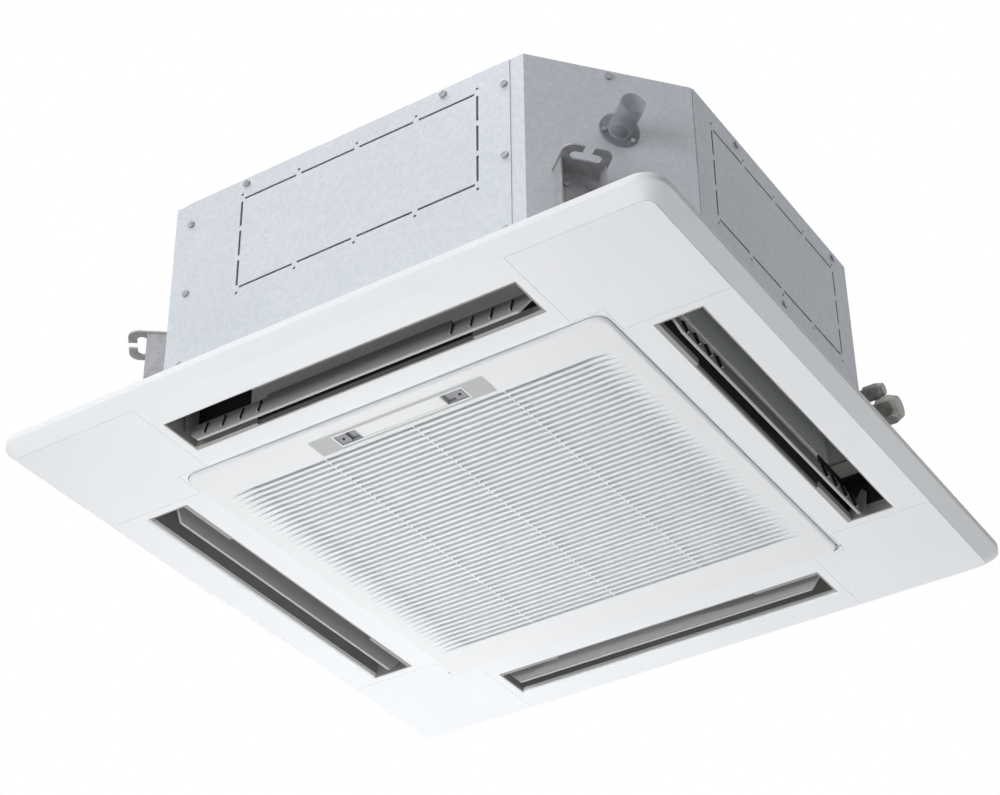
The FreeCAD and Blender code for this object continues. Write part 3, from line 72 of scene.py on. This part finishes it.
def toLinear(hexColour):
    parts = [int(hexColour[i:i + 2], 16) / 255 for i in (1, 3, 5)]
    return tuple(c / 12.92 if c <= 0.04045 else ((c + 0.055) / 1.055) ** 2.4 for c in parts) + (1.0,)


def scaleOf(size):
    # a pattern's scale, from the real size of one cell in mm
    return 1 / (size * mm)


def setInputs(tree, node, inputs):
    # an input is a plain value, a socket, or a node whose first output is meant
    for name, value in inputs.items():
        if isinstance(value, bpy.types.Node):
            value = value.outputs[0]
        if isinstance(value, bpy.types.NodeSocket):
            tree.links.new(value, node.inputs[name])
        else:
            node.inputs[name].default_value = value


def addNode(tree, kind, inputs=None, **settings):
    # one node with its settings, and then its inputs
    made = tree.nodes.new(kind)
    for name, value in settings.items():
        setattr(made, name, value)
    setInputs(tree, made, inputs or {})
    return made


mathNode = "ShaderNodeMath"


def newMaterial(name):
    made = bpy.data.materials.new(name)
    made.use_nodes = True
    tree = made.node_tree
    tree.nodes.clear()
    shader = addNode(tree, "ShaderNodeBsdfPrincipled")
    addNode(tree, "ShaderNodeOutputMaterial", {"Surface": shader})
    place = addNode(tree, "ShaderNodeTexCoord").outputs["Object"]
    return made, tree, shader, place


# light: soft boxes all round the unit, the key at the front, and a pale floor far below,
# so that a view with the grille hanging open still has its camera above the floor
studio = {
    "floorLevel": -7.0,
    "floorSide": 50,
    "floorColour": "#E4E5E6",
    "floorRough": 0.9,
    "floorGlow": 0.85,  # share of its own colour that the camera sees, the rest is lit and shaded
    "backdrop": "#FFFFFF",
    "ambient": 0.21,
    "ambientColour": "#F2F3F5",
    "lamps": [
        # name, place, aim, size, watts
        ("keyBox", (-0.6, -3.5, -0.3), (0, 0, 0), 1.8, 74),
        ("lowBox", (-0.2, -0.9, -2.4), (0, 0, -0.2), 1.8, 11),
        ("backBox", (-0.8, 0.7, -1.5), (-0.1, 0.1, -0.2), 1.0, 15.5),
        ("rightBox", (1.4, 0.6, -2.3), (0.4, 0, -0.2), 1.2, 12),
        ("topBox", (-0.6, -0.8, 3.2), (0, 0, 0.1), 2.5, 64),
        ("rearBox", (-2.0, 3.0, 0.5), (0, 0, 0), 2.0, 56),
    ],
}


def seenDirectly(tree):
    # 1 where the camera looks, also by way of metal or glass
    path = addNode(tree, "ShaderNodeLightPath").outputs
    seen = addNode(tree, mathNode, {0: path["Is Camera Ray"], 1: path["Is Glossy Ray"]}, operation="MAXIMUM")
    return addNode(tree, mathNode, {0: seen, 1: path["Is Transmission Ray"]}, operation="MAXIMUM")


def setWorld():
    world = bpy.data.worlds.new("studio")
    bpy.context.scene.world = world
    world.use_nodes = True
    tree = world.node_tree
    tree.nodes.clear()
    lit = addNode(tree, "ShaderNodeBackground",
                  {"Color": toLinear(studio["ambientColour"]), "Strength": studio["ambient"]})
    white = addNode(tree, "ShaderNodeBackground", {"Color": toLinear(studio["backdrop"]), "Strength": 1.0})
    both = addNode(tree, "ShaderNodeMixShader", {0: seenDirectly(tree), 1: lit, 2: white})
    addNode(tree, "ShaderNodeOutputWorld", {"Surface": both})


def setLamps():
    for name, place, aim, size, watts in studio["lamps"]:
        lamp = bpy.data.lights.new(name, "AREA")
        lamp.shape = "SQUARE"
        lamp.size = size
        lamp.energy = watts
        holder = bpy.data.objects.new(name, lamp)
        holder.location = place
        holder.visible_camera = False
        holder.rotation_euler = (Vector(aim) - Vector(place)).to_track_quat("-Z", "Y").to_euler()
        bpy.context.scene.collection.objects.link(holder)


def setFloor():
    bm = bmesh.new()
    bmesh.ops.create_grid(bm, x_segments=1, y_segments=1, size=studio["floorSide"] / 2,
                          matrix=Matrix.Translation((0, 0, studio["floorLevel"])))
    mesh = bpy.data.meshes.new("floor")
    bm.to_mesh(mesh)
    bm.free()
    floor = bpy.data.objects.new("floor", mesh)
    bpy.context.scene.collection.objects.link(floor)
    made, tree, shader, place = newMaterial("paleFloor")
    colour = toLinear(studio["floorColour"])
    setInputs(tree, shader, {"Base Color": colour, "Roughness": studio["floorRough"]})
    glow = addNode(tree, "ShaderNodeEmission", {"Color": colour, "Strength": 1.0})
    share = addNode(tree, mathNode, {0: seenDirectly(tree), 1: studio["floorGlow"]}, operation="MULTIPLY")
    both = addNode(tree, "ShaderNodeMixShader", {0: share, 1: shader, 2: glow})
    setInputs(tree, tree.nodes["Material Output"], {"Surface": both})
    mesh.materials.append(made)


setWorld()
setLamps()
setFloor()
bpy.context.scene.view_settings.view_transform = "Standard"
print("camera and studio set")


# hot-dip galvanised steel, skin passed: cool grey zinc, satin, with crystals of a few mm that barely show
zincSheet = {
    "dark": "#C5CAD1", "pale": "#D2D7DD", "cloudy": "#A3A9B1",
    "crystal": 5.0, "grain": 2.2, "cloud": 160.0,  # sizes in mm
    "grainDetail": 3.0, "grainRough": 0.6, "cloudDetail": 2.0,
    "grainShare": 0.45, "darkEnd": 0.2, "paleEnd": 0.8,
    "cloudStart": 0.3, "cloudEnd": 0.7, "cloudShare": 0.12,
    "rough": 0.52, "smooth": 0.44, "bump": 0.12, "bumpDepth": 0.4, "metallic": 0.25,
}


def galvanisedSheet():
    made, tree, shader, place = newMaterial("galvanisedSheet")
    crystal = addNode(tree, "ShaderNodeTexVoronoi",
                      {"Vector": place, "Scale": scaleOf(zincSheet["crystal"]), "Randomness": 1.0},
                      feature="F1")
    grain = addNode(tree, "ShaderNodeTexNoise",
                    {"Vector": place, "Scale": scaleOf(zincSheet["grain"]),
                     "Detail": zincSheet["grainDetail"], "Roughness": zincSheet["grainRough"]})
    cloud = addNode(tree, "ShaderNodeTexNoise",
                    {"Vector": place, "Scale": scaleOf(zincSheet["cloud"]),
                     "Detail": zincSheet["cloudDetail"]})
    tone = addNode(tree, "ShaderNodeMix",
                   {"Factor": zincSheet["grainShare"], "A": crystal.outputs["Color"],
                    "B": grain.outputs["Color"]}, data_type="RGBA")
    grey = addNode(tree, "ShaderNodeRGBToBW", {"Color": tone.outputs["Result"]})
    ramp = addNode(tree, "ShaderNodeValToRGB", {"Fac": grey})
    low, high = ramp.color_ramp.elements
    low.color, low.position = toLinear(zincSheet["dark"]), zincSheet["darkEnd"]
    high.color, high.position = toLinear(zincSheet["pale"]), zincSheet["paleEnd"]
    shade = addNode(tree, "ShaderNodeMapRange",
                    {"Value": cloud.outputs["Fac"], "From Min": zincSheet["cloudStart"],
                     "From Max": zincSheet["cloudEnd"], "To Min": 0.0, "To Max": zincSheet["cloudShare"]})
    colour = addNode(tree, "ShaderNodeMix",
                     {"Factor": shade, "A": ramp.outputs["Color"], "B": toLinear(zincSheet["cloudy"])},
                     data_type="RGBA")
    rough = addNode(tree, "ShaderNodeMapRange",
                    {"Value": grey, "To Min": zincSheet["rough"], "To Max": zincSheet["smooth"]})
    bump = addNode(tree, "ShaderNodeBump",
                   {"Height": grain.outputs["Fac"], "Strength": zincSheet["bump"],
                    "Distance": zincSheet["bumpDepth"] * mm})
    setInputs(tree, shader, {"Base Color": colour.outputs["Result"], "Roughness": rough, "Normal": bump,
                             "Metallic": zincSheet["metallic"]})
    return made


# bare or plated metal: even colour, mottled where the plating is thick, dull in the hollows
mottling = {"detail": 4.0, "detailRough": 0.65, "darkEnd": 0.3, "paleEnd": 0.7, "bump": 0.1, "bumpDepth": 0.3}


def mottledMetal(name, dark, pale, smooth, rough, speck, metallic=0.6):
    # speck is the size of one mottle in mm
    made, tree, shader, place = newMaterial(name)
    mottle = addNode(tree, "ShaderNodeTexNoise",
                     {"Vector": place, "Scale": scaleOf(speck), "Detail": mottling["detail"],
                      "Roughness": mottling["detailRough"]}).outputs["Fac"]
    ramp = addNode(tree, "ShaderNodeValToRGB", {"Fac": mottle})
    low, high = ramp.color_ramp.elements
    low.color, low.position = toLinear(dark), mottling["darkEnd"]
    high.color, high.position = toLinear(pale), mottling["paleEnd"]
    dull = addNode(tree, "ShaderNodeMapRange", {"Value": mottle, "To Min": smooth, "To Max": rough})
    bump = addNode(tree, "ShaderNodeBump",
                   {"Height": mottle, "Strength": mottling["bump"], "Distance": mottling["bumpDepth"] * mm})
    setInputs(tree, shader, {"Base Color": ramp.outputs["Color"], "Roughness": dull, "Normal": bump,
                             "Metallic": metallic})
    return made


# injection moulded plastic: even colour, spark-eroded grain, soft satin gloss
# the grain is drawn coarser than life so that it shows
moulding = {"flow": 200.0, "flowDetail": 1.0, "grainDetail": 2.0, "roughSwing": 0.06, "bumpDepth": 0.3}


def mouldedPlastic(name, dark, pale, roughness, grain=1.2, bump=0.05, specular=0.5, glow=0.0,
                   glowDepth=1.2):
    # grain, and how deep light goes into the plastic, in mm
    made, tree, shader, place = newMaterial(name)
    speckle = addNode(tree, "ShaderNodeTexNoise",
                      {"Vector": place, "Scale": scaleOf(grain),
                       "Detail": moulding["grainDetail"]}).outputs["Fac"]
    flow = addNode(tree, "ShaderNodeTexNoise",
                   {"Vector": place, "Scale": scaleOf(moulding["flow"]), "Detail": moulding["flowDetail"]})
    colour = addNode(tree, "ShaderNodeMix",
                     {"Factor": flow.outputs["Fac"], "A": toLinear(dark), "B": toLinear(pale)},
                     data_type="RGBA")
    dull = addNode(tree, "ShaderNodeMapRange",
                   {"Value": speckle, "To Min": roughness - moulding["roughSwing"],
                    "To Max": roughness + moulding["roughSwing"]})
    relief = addNode(tree, "ShaderNodeBump",
                     {"Height": speckle, "Strength": bump, "Distance": moulding["bumpDepth"] * mm})
    setInputs(tree, shader, {"Base Color": colour.outputs["Result"], "Roughness": dull, "Normal": relief,
                             "Specular IOR Level": specular, "Subsurface Weight": glow,
                             "Subsurface Radius": (glowDepth * mm,) * 3, "Subsurface Scale": 1.0})
    return made


# outlet ducts: olive-grey ABS at the rim, near-black painted shade on the inner wall above it, and pale foam
# colour next to the pan painted as lit foam
duct = {
    # places in mm where the painted shade and the painted light begin
    "innerWall": 349.5, "rimTop": -172.2, "litPatchLow": -146.0, "litPatchHalf": 172.0,
    "endWall": 238.0, "endLow": -163.0,
    # the near-black colour is painted shade, and the pale foam colour is painted light
    "rimDark": "#8C8C88", "rimPale": "#9C9C98", "paintedShade": "#1C1C1C", "foam": "#F0F0EC",
    "grain": 1.4, "grainDetail": 2.0, "flow": 90.0, "flowDetail": 2.0,  # sizes in mm
    "smooth": 0.4, "rough": 0.54, "bump": 0.06, "bumpDepth": 0.3,
}


def ductPlastic():
    made, tree, shader, place = newMaterial("linerAbs")
    axes = addNode(tree, "ShaderNodeSeparateXYZ", {"Vector": place}).outputs
    wall, end = duct["innerWall"] * mm, duct["endWall"] * mm
    x = addNode(tree, mathNode, {0: axes["X"]}, operation="ABSOLUTE")
    y = addNode(tree, mathNode, {0: axes["Y"]}, operation="ABSOLUTE")
    outwards = addNode(tree, mathNode, {0: x, 1: y}, operation="MAXIMUM")
    sideways = addNode(tree, mathNode, {0: x, 1: y}, operation="MINIMUM")
    # painted shade, near black, on the inner walls above the rim
    inner = addNode(tree, mathNode, {0: outwards, 1: wall}, operation="LESS_THAN")
    above = addNode(tree, mathNode, {0: axes["Z"], 1: duct["rimTop"] * mm}, operation="GREATER_THAN")
    innerShadeMask = addNode(tree, mathNode, {0: inner, 1: above}, operation="MULTIPLY")
    # painted shade also on the end wall of the right duct at the back
    endwards = addNode(tree, mathNode, {0: axes["Y"], 1: end}, operation="GREATER_THAN")
    right = addNode(tree, mathNode, {0: axes["X"], 1: wall}, operation="GREATER_THAN")
    endRight = addNode(tree, mathNode, {0: endwards, 1: right}, operation="MULTIPLY")
    endAbove = addNode(tree, mathNode, {0: axes["Z"], 1: duct["endLow"] * mm}, operation="GREATER_THAN")
    endShadeMask = addNode(tree, mathNode, {0: endRight, 1: endAbove}, operation="MULTIPLY")
    shadeMask = addNode(tree, mathNode, {0: innerShadeMask, 1: endShadeMask}, operation="MAXIMUM")
    # painted light: pale foam colour high up, in the middle of each duct and all the way to the front right
    # corner
    high = addNode(tree, mathNode, {0: axes["Z"], 1: duct["litPatchLow"] * mm}, operation="GREATER_THAN")
    central = addNode(tree, mathNode, {0: sideways, 1: duct["litPatchHalf"] * mm}, operation="LESS_THAN")
    cornerwards = addNode(tree, mathNode, {0: axes["X"], 1: axes["Y"]}, operation="SUBTRACT")
    near = addNode(tree, mathNode, {0: cornerwards, 1: wall}, operation="GREATER_THAN")
    reach = addNode(tree, mathNode, {0: central, 1: near}, operation="MAXIMUM")
    litPatchMask = addNode(tree, mathNode, {0: high, 1: reach}, operation="MULTIPLY")
    grain = addNode(tree, "ShaderNodeTexNoise",
                    {"Vector": place, "Scale": scaleOf(duct["grain"]),
                     "Detail": duct["grainDetail"]}).outputs["Fac"]
    flow = addNode(tree, "ShaderNodeTexNoise",
                   {"Vector": place, "Scale": scaleOf(duct["flow"]), "Detail": duct["flowDetail"]})
    rim = addNode(tree, "ShaderNodeMix",
                  {"Factor": flow.outputs["Fac"], "A": toLinear(duct["rimDark"]),
                   "B": toLinear(duct["rimPale"])}, data_type="RGBA")
    # painted shade and painted light, laid over the rim's own colour
    shadeAndLight = addNode(tree, "ShaderNodeMix",
                     {"Factor": litPatchMask, "A": toLinear(duct["paintedShade"]), "B": toLinear(duct["foam"])},
                     data_type="RGBA")
    colour = addNode(tree, "ShaderNodeMix",
                     {"Factor": shadeMask, "A": rim.outputs["Result"], "B": shadeAndLight.outputs["Result"]},
                     data_type="RGBA")
    dull = addNode(tree, "ShaderNodeMapRange",
                   {"Value": grain, "To Min": duct["smooth"], "To Max": duct["rough"]})
    bump = addNode(tree, "ShaderNodeBump",
                   {"Height": grain, "Strength": duct["bump"], "Distance": duct["bumpDepth"] * mm})
    setInputs(tree, shader, {"Base Color": colour.outputs["Result"], "Roughness": dull, "Normal": bump})
    return made


# flaps: mid-grey ABS, with near-black painted shadow along the flanks of the ribs at both ends
flap = {
    "ribEnd": 236.0, "steep": 0.8,  # how far out the ribs go in mm, and how steep a flank is
    "dark": "#A0A0A2", "pale": "#ACACAE", "ribShadow": "#242426",
    "grain": 1.4, "grainDetail": 2.0, "flow": 200.0, "flowDetail": 1.0,  # sizes in mm
    "smooth": 0.32, "rough": 0.44, "bump": 0.05, "bumpDepth": 0.3,
}


def flapPlastic():
    made, tree, shader, place = newMaterial("flapAbs")
    facing = addNode(tree, "ShaderNodeTexCoord").outputs["Normal"]
    axes = addNode(tree, "ShaderNodeSeparateXYZ", {"Vector": place}).outputs
    turn = addNode(tree, "ShaderNodeSeparateXYZ", {"Vector": facing}).outputs
    x = addNode(tree, mathNode, {0: axes["X"]}, operation="ABSOLUTE")
    y = addNode(tree, mathNode, {0: axes["Y"]}, operation="ABSOLUTE")
    # a flank faces along the flap, which runs along x at the front and back and along y at the sides
    alongX = addNode(tree, mathNode, {0: y, 1: x}, operation="GREATER_THAN")
    alongY = addNode(tree, mathNode, {0: 1.0, 1: alongX}, operation="SUBTRACT")
    turnX = addNode(tree, mathNode, {0: turn["X"]}, operation="ABSOLUTE")
    turnY = addNode(tree, mathNode, {0: turn["Y"]}, operation="ABSOLUTE")
    flankX = addNode(tree, mathNode, {0: alongX, 1: turnX}, operation="MULTIPLY")
    flankY = addNode(tree, mathNode, {0: alongY, 1: turnY}, operation="MULTIPLY")
    flank = addNode(tree, mathNode, {0: flankX, 1: flankY}, operation="ADD")
    sideways = addNode(tree, mathNode, {0: x, 1: y}, operation="MINIMUM")
    ribbed = addNode(tree, mathNode, {0: sideways, 1: flap["ribEnd"] * mm}, operation="LESS_THAN")
    steep = addNode(tree, mathNode, {0: flank, 1: flap["steep"]}, operation="GREATER_THAN")
    ribShadow = addNode(tree, mathNode, {0: steep, 1: ribbed}, operation="MULTIPLY")
    grain = addNode(tree, "ShaderNodeTexNoise",
                    {"Vector": place, "Scale": scaleOf(flap["grain"]),
                     "Detail": flap["grainDetail"]}).outputs["Fac"]
    flow = addNode(tree, "ShaderNodeTexNoise",
                   {"Vector": place, "Scale": scaleOf(flap["flow"]), "Detail": flap["flowDetail"]})
    plain = addNode(tree, "ShaderNodeMix",
                    {"Factor": flow.outputs["Fac"], "A": toLinear(flap["dark"]), "B": toLinear(flap["pale"])},
                    data_type="RGBA")
    # painted shadow on the steep flanks of the ribs
    colour = addNode(tree, "ShaderNodeMix",
                     {"Factor": ribShadow, "A": plain.outputs["Result"], "B": toLinear(flap["ribShadow"])},
                     data_type="RGBA")
    dull = addNode(tree, "ShaderNodeMapRange",
                   {"Value": grain, "To Min": flap["smooth"], "To Max": flap["rough"]})
    bump = addNode(tree, "ShaderNodeBump",
                   {"Height": grain, "Strength": flap["bump"], "Distance": flap["bumpDepth"] * mm})
    setInputs(tree, shader, {"Base Color": colour.outputs["Result"], "Roughness": dull, "Normal": bump})
    return made


# clear PVC: colourless, glossy, with a breath of haze from extrusion
tube = {"colour": "#A0A6AC", "alpha": 0.45, "ior": 1.5, "haze": 12.0, "hazeDetail": 2.0,
        "smooth": 0.03, "rough": 0.12}


def clearTube():
    made, tree, shader, place = newMaterial("clearPvc")
    haze = addNode(tree, "ShaderNodeTexNoise",
                   {"Vector": place, "Scale": scaleOf(tube["haze"]), "Detail": tube["hazeDetail"]})
    dull = addNode(tree, "ShaderNodeMapRange",
                   {"Value": haze.outputs["Fac"], "To Min": tube["smooth"], "To Max": tube["rough"]})
    setInputs(tree, shader, {"Base Color": toLinear(tube["colour"]), "Alpha": tube["alpha"],
                             "IOR": tube["ior"], "Roughness": dull})
    return made


# at scale 1 a wave pattern goes through this many radians in a metre, and half as many on a diagonal
waveTurn = 20

# aluminium fin stack: pale fin edges with painted shade in the gaps between them, drawn further apart than
# life so that they show
fins = {"dark": "#4A4D50", "pale": "#C4C8CC", "spacing": 9.475, "bump": 0.4, "bumpDepth": 0.6,
        "metallic": 0.9, "rough": 0.4}


def coilFins():
    made, tree, shader, place = newMaterial("finStack")
    lineScale = 2 * math.pi * scaleOf(fins["spacing"]) / (waveTurn / 2)
    lines = addNode(tree, "ShaderNodeTexWave", {"Vector": place, "Scale": lineScale, "Distortion": 0.0},
                    wave_type="BANDS", bands_direction="DIAGONAL").outputs["Fac"]
    ramp = addNode(tree, "ShaderNodeValToRGB", {"Fac": lines})
    low, high = ramp.color_ramp.elements
    # the dark bands are painted shade for the gaps between fins
    low.color, high.color = toLinear(fins["dark"]), toLinear(fins["pale"])
    bump = addNode(tree, "ShaderNodeBump",
                   {"Height": lines, "Strength": fins["bump"], "Distance": fins["bumpDepth"] * mm})
    setInputs(tree, shader, {"Base Color": ramp.outputs["Color"], "Normal": bump,
                             "Metallic": fins["metallic"], "Roughness": fins["rough"]})
    return made


# moulded expanded polystyrene: white beads about 3 mm wide, matt, with painted shade darkening each bead
# towards its edge
foam = {"pale": "#ECEEEF", "dark": "#C9CDD0", "bead": 3.4, "bump": 0.35, "bumpDepth": 0.5, "rough": 0.85}


def foamBlock():
    made, tree, shader, place = newMaterial("mouldedFoam")
    bead = addNode(tree, "ShaderNodeTexVoronoi", {"Vector": place, "Scale": scaleOf(foam["bead"])},
                   feature="F1").outputs["Distance"]
    ramp = addNode(tree, "ShaderNodeValToRGB", {"Fac": bead})
    low, high = ramp.color_ramp.elements
    # painted shade: darker towards each bead's edge, in the creases between beads
    low.color, high.color = toLinear(foam["pale"]), toLinear(foam["dark"])
    bump = addNode(tree, "ShaderNodeBump",
                   {"Height": bead, "Strength": foam["bump"], "Distance": foam["bumpDepth"] * mm},
                   invert=True)
    setInputs(tree, shader, {"Base Color": ramp.outputs["Color"], "Normal": bump,
                             "Roughness": foam["rough"]})
    return made


# woven polypropylene net: pale grey threads on a 2 mm grid, with painted shade in the holes between them
net = {"hole": "#C6C8CA", "thread": "#EEEFF0", "pitch": 2.0726, "bump": 0.3, "bumpDepth": 0.4, "rough": 0.8}


def filterNet():
    made, tree, shader, place = newMaterial("filterNet")
    threadScale = 2 * math.pi * scaleOf(net["pitch"]) / waveTurn
    warp, weft = [addNode(tree, "ShaderNodeTexWave", {"Vector": place, "Scale": threadScale},
                          wave_type="BANDS", bands_direction=along).outputs["Fac"] for along in ("X", "Y")]
    weave = addNode(tree, mathNode, {0: warp, 1: weft}, operation="MAXIMUM")
    ramp = addNode(tree, "ShaderNodeValToRGB", {"Fac": weave})
    low, high = ramp.color_ramp.elements
    # the darker colour in the holes is painted shade for the space behind the net
    low.color, high.color = toLinear(net["hole"]), toLinear(net["thread"])
    bump = addNode(tree, "ShaderNodeBump",
                   {"Height": weave, "Strength": net["bump"], "Distance": net["bumpDepth"] * mm})
    setInputs(tree, shader, {"Base Color": ramp.outputs["Color"], "Normal": bump, "Roughness": net["rough"]})
    return made


finishes = {
    "galvanised_steel": galvanisedSheet(),
    # plated screw heads: pale grey with small bright specks
    "screw_steel": mottledMetal("zincScrew", "#7C8086", "#B9BEC4", smooth=0.25, rough=0.45, speck=4),
    # plated pressing: even grey, rather dull
    "bracket_steel": mottledMetal("greyZincBracket", "#9A9A9C", "#B8B8BA", smooth=0.35, rough=0.55, speck=12,
                                  metallic=0.35),
    "white_foam": foamBlock(),
    "aluminium_fins": coilFins(),
    # drawn copper: warm brown-red with long soft patches
    "copper_tube": mottledMetal("drawnCopper", "#8A4F33", "#C07A55", smooth=0.25, rough=0.45, speck=20),
    # nickelled brass, handled: dull warm grey
    "plated_brass": mottledMetal("dullPlatedBrass", "#7A7874", "#A8A6A0", smooth=0.35, rough=0.55, speck=8),
    # plain grey ABS
    "grey_plastic": mouldedPlastic("greyAbs", "#6E7175", "#7D8085", roughness=0.5),
    # ground steel: brighter and smoother than the plated pieces
    "shaft_steel": mottledMetal("groundSteel", "#84888C", "#B0B4B8", smooth=0.2, rough=0.32, speck=6),
    # dark stove enamel with a slight orange peel
    "motor_paint": mouldedPlastic("motorEnamel", "#33363A", "#3E4146", roughness=0.4, grain=2, bump=0.1),
    # black rubber: matt, hardly any highlight
    "black_rubber": mouldedPlastic("blackRubber", "#1B1B1C", "#252526", roughness=0.75, grain=1.6, bump=0.15,
                                   specular=0.3),
    "clear_plastic": clearTube(),
    # green varnish over the board: rather glossy
    "board_green": mouldedPlastic("boardVarnish", "#1F5A33", "#2C6B3F", roughness=0.3, grain=3, bump=0.1),
    # natural nylon: warm off-white
    "terminal_plastic": mouldedPlastic("terminalNylon", "#C9C8BE", "#D8D7CE", roughness=0.5),
    # white ABS: satin, and light goes a little way into it
    "white_plastic": mouldedPlastic("whiteAbs", "#EBEDEF", "#F1F3F5", roughness=0.42, grain=1.4, bump=0.03,
                                    glow=0.35),
    "dark_plastic": ductPlastic(),
    "flap_plastic": flapPlastic(),
    "filter_net": filterNet(),
    # pale grey ABS strip
    "strip_plastic": mouldedPlastic("paleGreyAbs", "#A9AAAC", "#B1B2B4", roughness=0.4),
    # mid-grey ABS buttons with a fine grain
    "latch_plastic": mouldedPlastic("latchAbs", "#77797B", "#85878A", roughness=0.42, grain=1, bump=0.06),
}
for row in frame["record"]["subparts"]:
    mesh = nodes[row["node"]].data
    mesh.materials.clear()
    mesh.materials.append(finishes[row["material_slot"]])

# the thin slats let more light through than the panel does
grillePlastic = mouldedPlastic("whiteAbsThin", "#EBEDEF", "#F1F3F5", roughness=0.42, grain=1.4, bump=0.03,
                               glow=0.7, glowDepth=6)
nodes["intake_grille"].data.materials[0] = grillePlastic
print("finishes on", len(finishes), "slots")


roundSteps = 2  # faces across a rounded edge


def addPiece(name, bm, finish, body, quarter=0):
    # turns the mesh to its side of the unit, and hangs it on its body
    if quarter:
        turn = Matrix.Rotation(math.pi / 2 * quarter, 3, "Z")
        bmesh.ops.rotate(bm, verts=bm.verts, cent=(0, 0, 0), matrix=turn)
    bmesh.ops.recalc_face_normals(bm, faces=bm.faces)
    mesh = bpy.data.meshes.new(name)
    bm.to_mesh(mesh)
    bm.free()
    piece = bpy.data.objects.new(name, mesh)
    bpy.context.scene.collection.objects.link(piece)
    mesh.materials.append(finishes[finish])
    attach(piece, body)


def softBlock(bm, low, high, rounding):
    # a block between two corners in mm, with its edges rounded
    size = Vector(high) - Vector(low)
    middle = (Vector(high) + Vector(low)) / 2
    place = Matrix.Translation(middle * mm) @ Matrix.Diagonal((*(size * mm), 1))
    made = bmesh.ops.create_cube(bm, size=1.0, matrix=place)
    edges = list({e for v in made["verts"] for e in v.link_edges})
    bmesh.ops.bevel(bm, geom=edges, offset=rounding * mm, affect="EDGES", segments=roundSteps,
                    profile=0.5, material=-1)


# thin lip along each flap's lower edge, in mm
flapLip = {"out": 370.8, "level": -186.5, "wide": 4.4, "tall": 2.0, "long": 468.0, "round": 0.9}
for quarter, side in enumerate(("front", "right", "back", "left")):
    bm = bmesh.new()
    half = flapLip["long"] / 2
    softBlock(bm, (-half, -flapLip["out"] - flapLip["wide"] / 2, flapLip["level"]),
              (half, -flapLip["out"] + flapLip["wide"] / 2, flapLip["level"] + flapLip["tall"]),
              flapLip["round"])
    addPiece(f"flapLip_{side}", bm, "flap_plastic", f"flap_{side}", quarter)

# white rim round the bar and the two windows of the latch strip, in mm
stripRim = {"y": -270.0, "wide": 193.0, "deep": 25.0, "band": 2.0, "level": -184.4, "thick": 0.9}
bm = bmesh.new()
place = Matrix.Translation((0, stripRim["y"] * mm, stripRim["level"] * mm))
size = Matrix.Diagonal((stripRim["wide"] * mm, stripRim["deep"] * mm, 1, 1))
bmesh.ops.create_grid(bm, x_segments=1, y_segments=1, size=0.5, matrix=place @ size)
inner = bm.faces[:]
bmesh.ops.inset_region(bm, faces=inner, thickness=stripRim["band"] * mm, use_boundary=True,
                       use_even_offset=True)
bmesh.ops.delete(bm, geom=inner, context="FACES_ONLY")
grown = bmesh.ops.extrude_face_region(bm, geom=bm.faces[:])["geom"]
bmesh.ops.translate(bm, verts=[v for v in grown if isinstance(v, bmesh.types.BMVert)],
                    vec=(0, 0, stripRim["thick"] * mm))
addPiece("stripRim", bm, "white_plastic", "grille")

# the front halves of the bars that tie the slats together, in mm
grilleBar = {"pitch": 132.5, "wide": 2.5, "front": -182.6, "back": -179.5, "nearEnd": -246.0, "farEnd": 241.0,
             "round": 0.3}
bm = bmesh.new()
for x in (-grilleBar["pitch"], 0, grilleBar["pitch"]):
    softBlock(bm, (x - grilleBar["wide"] / 2, grilleBar["nearEnd"], grilleBar["front"]),
              (x + grilleBar["wide"] / 2, grilleBar["farEnd"], grilleBar["back"]), grilleBar["round"])
addPiece("grilleBars", bm, "white_plastic", "grille")

# dark dot on each latch, in mm
latchDot = {"x": 85.7, "y": -270.0, "level": -183.7, "radius": 1.9, "tall": 0.7, "sides": 24}
for side, hand in (("left", -1), ("right", 1)):
    bm = bmesh.new()
    place = Matrix.Translation((hand * latchDot["x"] * mm, latchDot["y"] * mm, latchDot["level"] * mm))
    bmesh.ops.create_cone(bm, cap_ends=True, segments=latchDot["sides"], radius1=latchDot["radius"] * mm,
                          radius2=latchDot["radius"] * mm, depth=latchDot["tall"] * mm, matrix=place)
    addPiece(f"latchDot_{side}", bm, "black_rubber", f"latch_{side}")
print("small pieces added")


# softened edges on moulded and pressed CAD pieces: widths in mm by the start of a node's name
softEdges = {"panel_frame": 0.6, "intake_grille": 1.6, "hanger_bracket": 0.4, "corner_cover": 0.25,
             "outlet_liner": 0.4, "flap_": 0.4, "latch_": 0.3, "drain_socket": 0.4}
softening = {"weldGap": 0.01, "edgeAngle": 40, "leaveOut": "flap_motors"}  # gap in mm, angle in degrees
for name, thing in nodes.items():
    width = next((value for start, value in softEdges.items() if name.startswith(start)), 0)
    if not width or name == softening["leaveOut"]:
        continue
    weld = thing.modifiers.new("weld", "WELD")
    weld.merge_threshold = softening["weldGap"] * mm
    bevel = thing.modifiers.new("soften", "BEVEL")
    bevel.width = width * mm
    bevel.segments = roundSteps
    bevel.limit_method = "ANGLE"
    bevel.angle_limit = math.radians(softening["edgeAngle"])
    bevel.use_clamp_overlap = True
print("edges softened")
